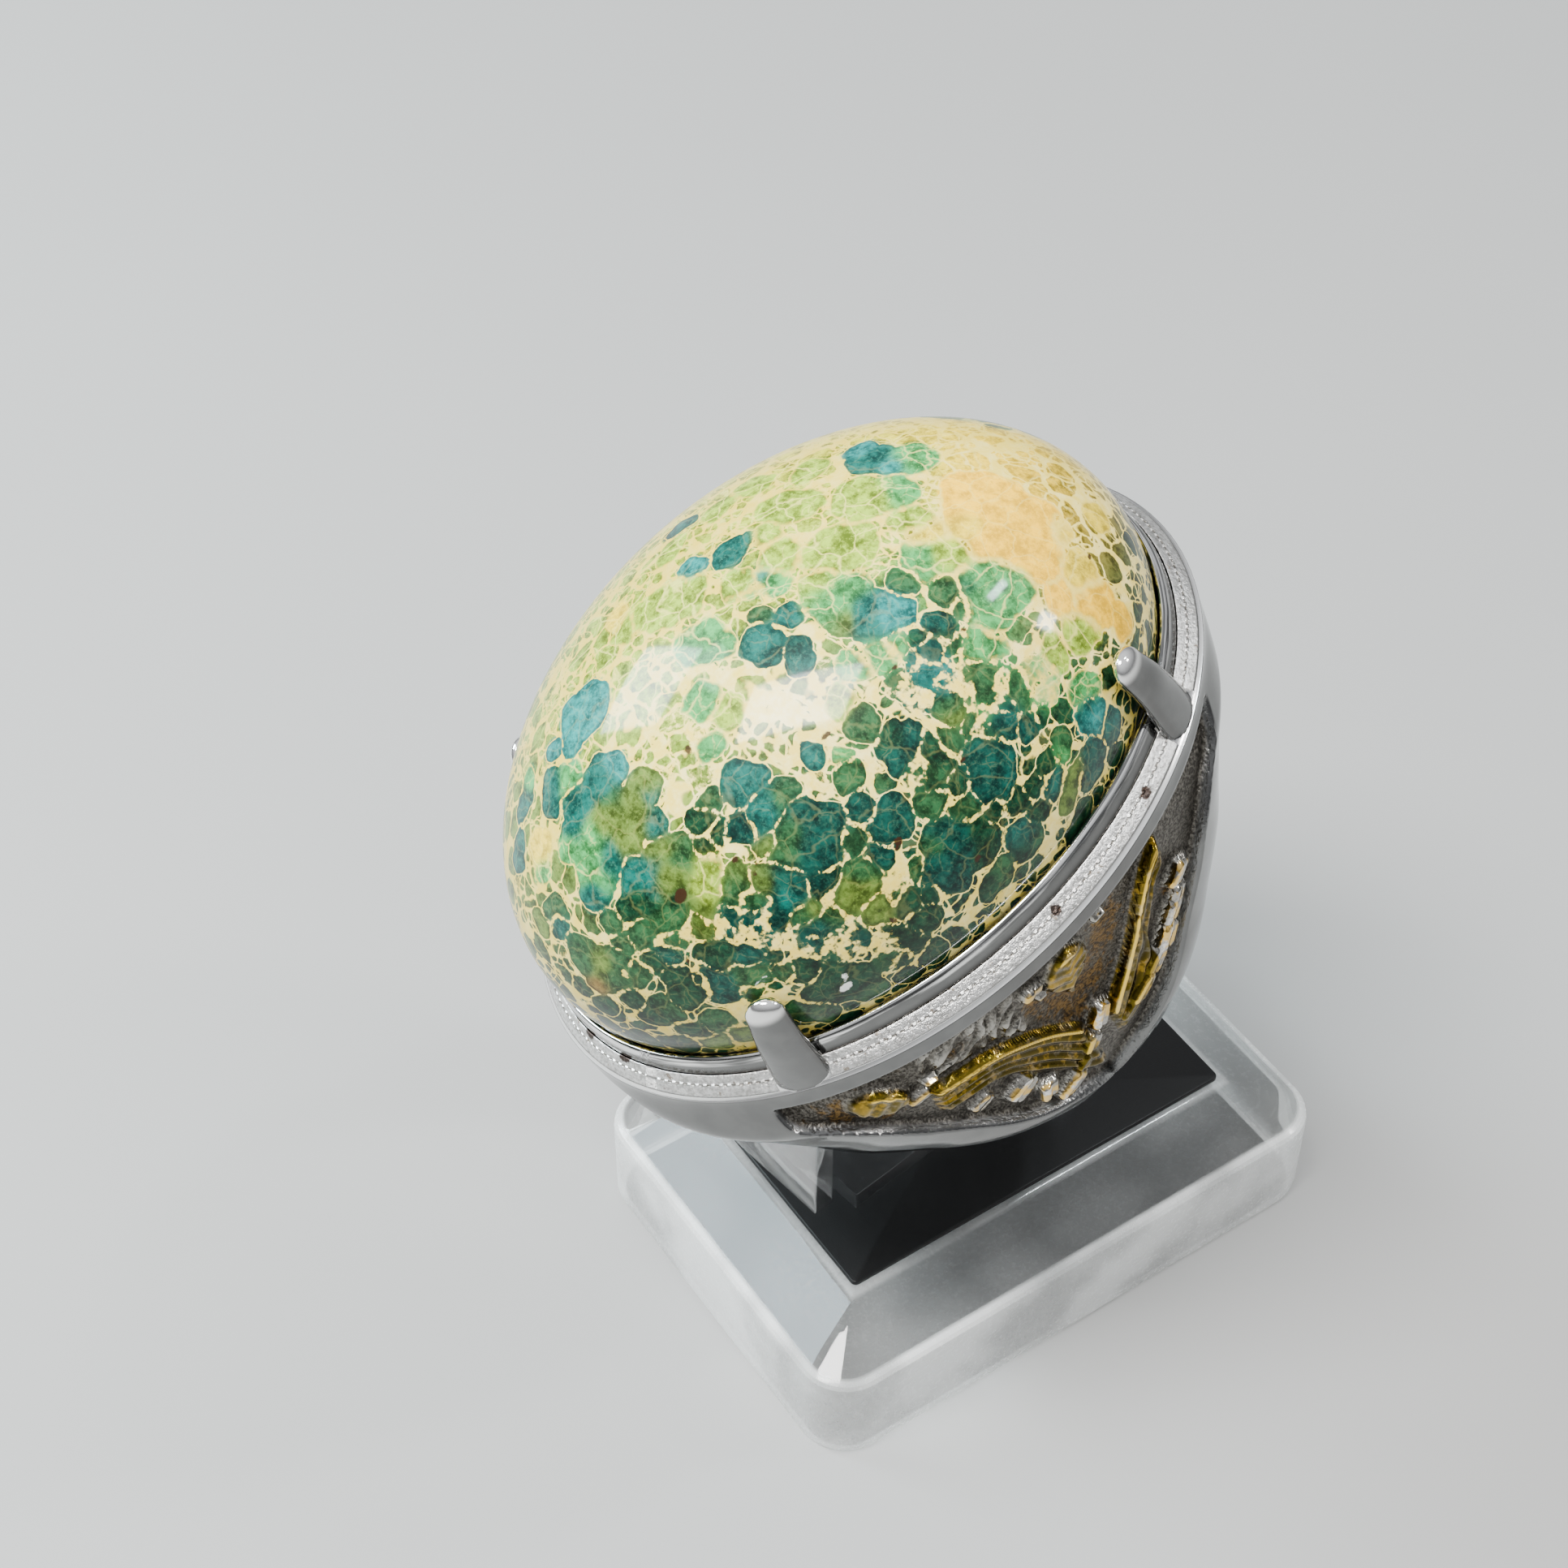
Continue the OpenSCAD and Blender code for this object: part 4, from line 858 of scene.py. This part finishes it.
def cast_silver():
    """Silver: mirror walls and claws darkened as a painted dark reflection, a granular ledge with a painted
    highlight on its edge, painted shade in its groove, a collar with painted reflection streaks, claw tips
    lit by a painted highlight, dark sunk grounds and worn gilding with painted light.
    """
    silver = Finish("cast_silver", Metallic=1.0)
    p = silver.ring_place()
    ledge, along, ground, gilt, panel, rise, stain = (
        silver.mark(m) for m in ("ledge", "along", "ground", "gilt", "panel", "rise", "stain"))
    cloud = silver.noise(p, 0.9, 3.0)
    grain = silver.noise(p, 6.5, 3.0, 0.65)
    coarse = silver.noise(p, 2.4, 4.0, 0.6)

    def drawn_out(stretch, across, scale, detail, rough):
        """A noise drawn out along the ledge."""
        run = silver.add("CombineXYZ", inputs={0: along * stretch, 1: ledge * across, 2: 0.0})
        return silver.noise(run, scale, detail, rough)

    # across the ledge, in millimetres from its edge: a painted highlight on the rounded outer edge, a
    # granular flat with a dotted line along its middle, a polished edge, a groove darkened by painted shade,
    # and the collar with bright streaks of painted reflection
    # the second noise draws the collar's bright streaks, a painted reflection
    drawn, collar_reflection_streaks = drawn_out(1.0, 3.5, 1.5, 4.0, 0.7), drawn_out(0.10, 7.0, 1.4, 3.0, 0.6)
    granular = ledge.step(0.15, 0.22) * ledge.step(0.93, 0.89)
    ridge = ledge.band(0.55, 0.075)
    dots = (along * (2 * math.pi / DOT_GAP)).sine().step(-0.3, 0.6)
    # near-black in the groove beside the collar and in the gap by the stone: painted shade
    groove_and_gap_shade = ledge.band(0.925, 0.05).most(ledge.step(1.38, 1.43))
    # nearly white band on the rounded outer edge of the ledge: a painted highlight
    edge_highlight = ledge.step(0.005, 0.03) * ledge.step(0.19, 0.15)
    collar = ledge.step(0.98, 1.02) * ledge.step(1.40, 1.36)
    # claws nearly white towards their tips: a painted highlight
    claw_tip_highlight = silver.part(p, "Z").step(LEDGE_Z + 5.2, LEDGE_Z + 5.8)
    speck = (coarse + 0.3 * (drawn - 0.5)).step(0.63, 0.70) * granular
    # walls, band and claws: the silver darkened as a painted dark reflection, a little cloudy
    walls_painted_dark = silver.mix(cloud.step(0.35, 0.7), (0.165, 0.165, 0.163), (0.19, 0.19, 0.187))
    flat = silver.mix((0.5 * grain + 0.5 * drawn).step(0.36, 0.62),
                      (0.46, 0.45, 0.43), (0.92, 0.91, 0.89))
    colour = silver.layers(
        walls_painted_dark, (collar * collar_reflection_streaks.step(0.44, 0.58), (0.95, 0.945, 0.93)),
        (claw_tip_highlight, (0.95, 0.94, 0.92)), (granular, flat), (speck * 0.8, (0.20, 0.15, 0.10)),
        (ridge * (1.0 - dots) * 0.85, (0.09, 0.075, 0.055)), (groove_and_gap_shade * 0.9, (0.03, 0.027, 0.024)),
        (edge_highlight, (0.97, 0.965, 0.95)))
    for spot in PITS:
        away = silver.add("VectorMath", {"operation": "DISTANCE"}, {0: p, 1: spot}, "Value")
        pit = (away + 0.6 * (coarse - 0.5)).step(0.36, 0.22)
        colour = silver.mix(pit * 0.95, colour, (0.035, 0.018, 0.012))
    # panels: dark granular ground, brown stains, bright crests, gilding worn through in places
    pitted = silver.mix(grain.step(0.38, 0.62), (0.028, 0.025, 0.021), (0.21, 0.195, 0.17))
    rusty = (stain + 2.4 * (coarse - 0.5)).step(0.35, 0.95)
    brown = silver.mix((0.6 * grain + 0.4 * coarse).step(0.42, 0.60),
                       (0.014, 0.009, 0.005), (0.27, 0.155, 0.042))
    crest = silver.layers(
        pitted, (rise.step(0.08, 0.58), (0.40, 0.385, 0.35)), (rise.step(0.74, 0.96), (0.93, 0.91, 0.86)),
        (grain.step(0.52, 0.36) * 0.5, (0.10, 0.09, 0.075)), (rusty * ground * 0.9, brown))
    worn = (cloud + 0.6 * (coarse - 0.5)).step(0.55, 0.66)
    # gilding: its dark body is a painted dark reflection, its lighter ribs and bright top edges are painted
    # highlights, with random brighter patches
    gilt_with_painted_light = silver.layers(
        (0.045, 0.033, 0.004), (rise.step(0.50, 0.74), (0.115, 0.084, 0.009)),
        (coarse.step(0.50, 0.64) * 0.30, (0.66, 0.39, 0.035)), (rise.step(0.80, 0.92), (1.0, 0.68, 0.12)))
    touched = silver.noise(p, 1.3).step(0.48, 0.55) * panel * rise.step(0.5, 0.75) * (1.0 - gilt)
    silver.feed("Base Color", silver.layers(
        colour, (panel.step(0.5, 0.9), crest), (gilt.step(0.15, 0.5) * (1.0 - 0.18 * worn), gilt_with_painted_light),
        (touched * 0.8, (0.95, 0.60, 0.10))))
    silver.feed("Roughness", 0.07 + 0.06 * cloud + 0.26 * granular + 0.32 * ground + 0.05 * gilt
                + 0.25 * speck + 0.12 * edge_highlight)
    tooth = grain * (0.55 * granular + ground + 0.04) + coarse * (0.3 * granular + 0.9 * ground + 0.02)
    tooth = tooth + drawn * granular * 0.5 + ridge * dots * 1.2
    silver.feed("Normal", silver.bump(tooth, 0.14, 0.7))
    return silver


def veined_jasper():
    """The stone: charted cells of teal, green, olive and amber in a thin cream web, under a gloss."""
    stone = Finish("veined_jasper", Roughness=0.35, Coat_Weight=0.70, Coat_Roughness=0.07, Coat_IOR=1.36,
                   Specular_IOR_Level=0.08)
    p = stone.ring_place()
    cell, speck, chip, cream, shade = (
        stone.mark(m) for m in ("cell", "speck", "chip", "cream", "shade"))
    tint = stone.mark("tint", "Color")
    fine = stone.noise(p, 5.5, 4.0, 0.7)
    mottle = stone.noise(p, 1.5, 4.0, 0.65)
    shaken = stone.shaken(stone.shaken(p, 0.45, 1.2), 1.9, 0.40)

    def within(scale, reach=None):
        """Depth in millimetres inside scattered cells, cut off round their points at a reach."""
        depth = stone.cells(shaken, scale, "DISTANCE_TO_EDGE")
        if reach:
            depth = depth.least(reach - stone.cells(shaken, scale))
        return depth / scale

    # pale cells melt into the cream at a soft, wandering border, dark ones end sharply, and warm
    # ones have little grain
    pale = stone.part(tint, "Y").step(0.17, 0.24)
    warm = stone.part(tint, "X").step(0.45, 0.75)
    edge = cell + (0.17 + 0.26 * pale) * (stone.noise(p, 1.5, 3.0, 0.6) - 0.5) + 0.07 * (fine - 0.5)
    edge = edge + 0.13 * (stone.noise(p, 3.4, 1.0) - 0.5)
    charted = edge.step(0.0, 0.028) * (1.0 - pale) + edge.step(-0.08, 0.12) * pale
    # small cells fill the ground between the charted ones, fewer where the zone is creamy
    vein = 0.012 + 0.10 * cream + 0.05 * (fine - 0.5)
    pick = stone.part(stone.cells(shaken, 0.80, out="Color"), "X")
    split = (pick + 0.4 * (mottle - 0.5)).step(0.55, 0.60)
    small = (within(0.80, 0.66) - vein).step(0.0, 0.06) * (1.0 - split)
    tiny = (within(1.7, 0.64) - 0.6 * vein).step(0.0, 0.05) * split
    present = (stone.noise(p, 0.75) + 0.35 * (pick - 0.5) - 0.70 * cream).step(-0.06, 0.02)
    inside = charted.most(small.most(tiny) * present * edge.step(-0.025, -0.055))
    # inside the cells: cloudy darker and lighter grain, pale threads
    dark = stone.mix(1.0, tint, (0.28, 0.34, 0.31), "MULTIPLY")
    dark = stone.mix(0.60 * warm, dark, tint)
    light = stone.mix(1.0, tint, (0.001, 0.014, 0.008), "ADD")
    light = stone.mix(1.0, light, (1.4, 1.5, 1.4), "MULTIPLY")
    light = stone.mix(0.4 * warm, light, tint)
    web = within(0.55).step(0.07, 0.0) * (0.28 + 0.40 * pale)
    hair = within(1.25).step(0.045, 0.0) * mottle.step(0.42, 0.6) * (0.24 + 0.20 * pale)
    inner = stone.layers(
        dark, (mottle.step(0.32, 0.66), light),
        (fine.step(0.48, 0.70) * 0.7, stone.mix(0.03, light, (0.75, 0.80, 0.30))),
        (fine.step(0.46, 0.30) * 0.6, dark),
        (web.most(hair) * (1.0 - 0.5 * warm), stone.mix(0.20 + 0.50 * pale, light, (0.90, 0.78, 0.22))),
        (edge.band(0.10, 0.10) * charted * (0.5 - 0.5 * pale), dark))
    matrix = stone.layers(
        (0.86, 0.66, 0.11), (mottle.step(0.35, 0.7), (0.94, 0.81, 0.31)), (shade, (0.56, 0.42, 0.02)),
        (fine.step(0.60, 0.8) * 0.35, (0.62, 0.36, 0.10)))
    stone.feed("Base Color", stone.layers(
        matrix, (inside, inner),
        ((speck + 0.12 * (fine - 0.5)).step(0.07, -0.01) * 0.95, (0.030, 0.012, 0.005)),
        ((chip + 0.30 * (fine - 0.5)).step(0.10, 0.02), (0.90, 0.92, 0.86))))
    stone.feed("Normal", stone.bump(inside * 0.5 + fine * 0.15, 0.012, 0.5))
    return stone


def clear_plastic(name, tint, alpha, rough):
    """Clear acrylic that lets light through to the floor, whitened where it is frosted or scuffed."""
    clear = Finish(name, Transmission_Weight=1.0, IOR=1.49, Base_Color=(*tint, 1.0), Coat_Weight=1.0,
                   Coat_Roughness=0.03)
    p = clear.stand_place()
    scuff = clear.noise(p, 0.16, 2.0, 0.5)
    fine = clear.noise(p, 3.0, 4.0, 0.7)
    frost = clear.mark("frost")
    facing = clear.add("LayerWeight", inputs={"Blend": 0.35}, out="Facing")
    shadow = clear.add("LightPath", out="Is Shadow Ray")
    clear.feed("Roughness", rough + 0.10 * fine.step(0.5, 0.8) + 0.25 * frost)
    clear.feed("Alpha", (alpha + 0.30 * facing).least(1.0) * (1.0 - 0.88 * shadow))
    clear.feed("Normal", clear.bump(fine, 0.004, 0.3))
    white = frost * (0.40 + 0.60 * scuff.step(0.36, 0.62)) * (1.0 - 0.6 * shadow) * 0.72
    clear.overlay(white + 0.03 * fine.step(0.55, 0.75), (0.86, 0.88, 0.87), 0.30)
    return clear


def black_card():
    """The pad: glossy black card with a fine tooth and faint pale flecks."""
    card = Finish("black_card", Coat_Weight=0.12, Coat_Roughness=0.15, Specular_IOR_Level=0.2)
    p = card.stand_place()
    tooth = card.noise(p, 9.0, 3.0, 0.7)
    flecks = card.noise(p, 3.1, 6.0, 0.8).step(0.70, 0.78)
    card.feed("Base Color", card.mix(flecks * 0.25, (0.003, 0.003, 0.0032), (0.12, 0.12, 0.11)))
    card.feed("Roughness", 0.35 + 0.25 * tooth)
    card.feed("Normal", card.bump(tooth, 0.02, 0.5))
    return card


cast_silver().on(ring_shell)
veined_jasper().on(cabochon)
clear_plastic("clouded_acrylic", (0.97, 0.99, 0.985), 0.50, 0.015).on(clear_block)
clear_plastic("clear_acrylic_strip", (0.97, 0.985, 0.985), 0.30, 0.015).on(clear_clip)
black_card().on(dark_pad)


# ---------------------------------------------------------------- floor and light
FLOOR_REACH = 3000.0


def make_floor():
    """A plain floor: one large flat face just under the stand."""
    corners = np.array([(-1, -1, 0), (1, -1, 0), (1, 1, 0), (-1, 1, 0)]) * FLOOR_REACH
    data = bpy.data.meshes.new("floor")
    data.from_pydata((corners * MM).tolist(), [], [[0, 1, 2, 3]])
    floor = bpy.data.objects.new("floor", data)
    bpy.context.scene.collection.objects.link(floor)
    matt = Finish("pale_paint", Roughness=0.75)
    cloud = matt.noise(matt.stand_place(), 0.02, 3.0)
    matt.feed("Base Color", matt.mix(cloud, (0.32, 0.32, 0.316), (0.345, 0.345, 0.341)))
    matt.on(floor)


def lamp(name, place, aim, along, size, power, colour=(1, 1, 1)):
    """A rectangular soft light at place (mm), facing aim, its longer side turned towards along."""
    data = bpy.data.lights.new(name, "AREA")
    data.shape, data.size, data.size_y = "RECTANGLE", size[0] * MM, size[1] * MM
    data.energy, data.color = power, colour
    light = bpy.data.objects.new(name, data)
    back = (Vector(place) - Vector(aim)).normalized()
    across = back.cross(Vector(along)).normalized()
    turn = Matrix((across.cross(back), across, back)).transposed().to_4x4()
    light.matrix_world = Matrix.Translation(Vector(place) * MM) @ turn
    bpy.context.scene.collection.objects.link(light)


def studio_air():
    """Soft surround: pale overhead and dim towards the horizon, so that polished metal shows its form."""
    world = bpy.data.worlds.new("studio")
    bpy.context.scene.world = world
    world.use_nodes = True
    nodes, links = world.node_tree.nodes, world.node_tree.links
    place = nodes.new("ShaderNodeTexCoord")
    split = nodes.new("ShaderNodeSeparateXYZ")
    ramp = nodes.new("ShaderNodeMapRange")
    for socket, value in {"From Min": 0.0, "From Max": 0.8, "To Min": 0.20, "To Max": 1.0}.items():
        ramp.inputs[socket].default_value = value
    links.new(place.outputs["Generated"], split.inputs[0])
    links.new(split.outputs["Z"], ramp.inputs[0])
    links.new(ramp.outputs[0], nodes["Background"].inputs["Strength"])
    nodes["Background"].inputs["Color"].default_value = (0.95, 0.97, 1.0, 1)


make_floor()
# name, place, aim, direction of the longer side, length and width in mm, watts, colour
lamp("window_left", (-172, 223, 178), (-8, 4, 38), (-0.2, -0.49, 0.85), (120, 92), 1.7, (0.84, 0.96, 1.0))
lamp("window_top", (-142, -8, 325), (-2, 0, 38), (0.63, -0.72, 0.28), (165, 86), 2.6, (1.0, 0.99, 0.97))
lamp("window_low", (-149, 154, 252), (-14, 0, 7), (0.1, 0.95, -0.27), (76, 40), 0.13, (0.72, 0.90, 1.0))
lamp("window_right", (214, -142, 240), (0, 0, 25), (0.0, 0.0, 1.0), (44, 30), 0.35, (1.0, 0.98, 0.95))
lamp("window_small", (150, -60, 320), (0, 0, 30), (1.0, 0.4, 0.0), (40, 16), 0.18, (0.85, 0.96, 1.0))
studio_air()
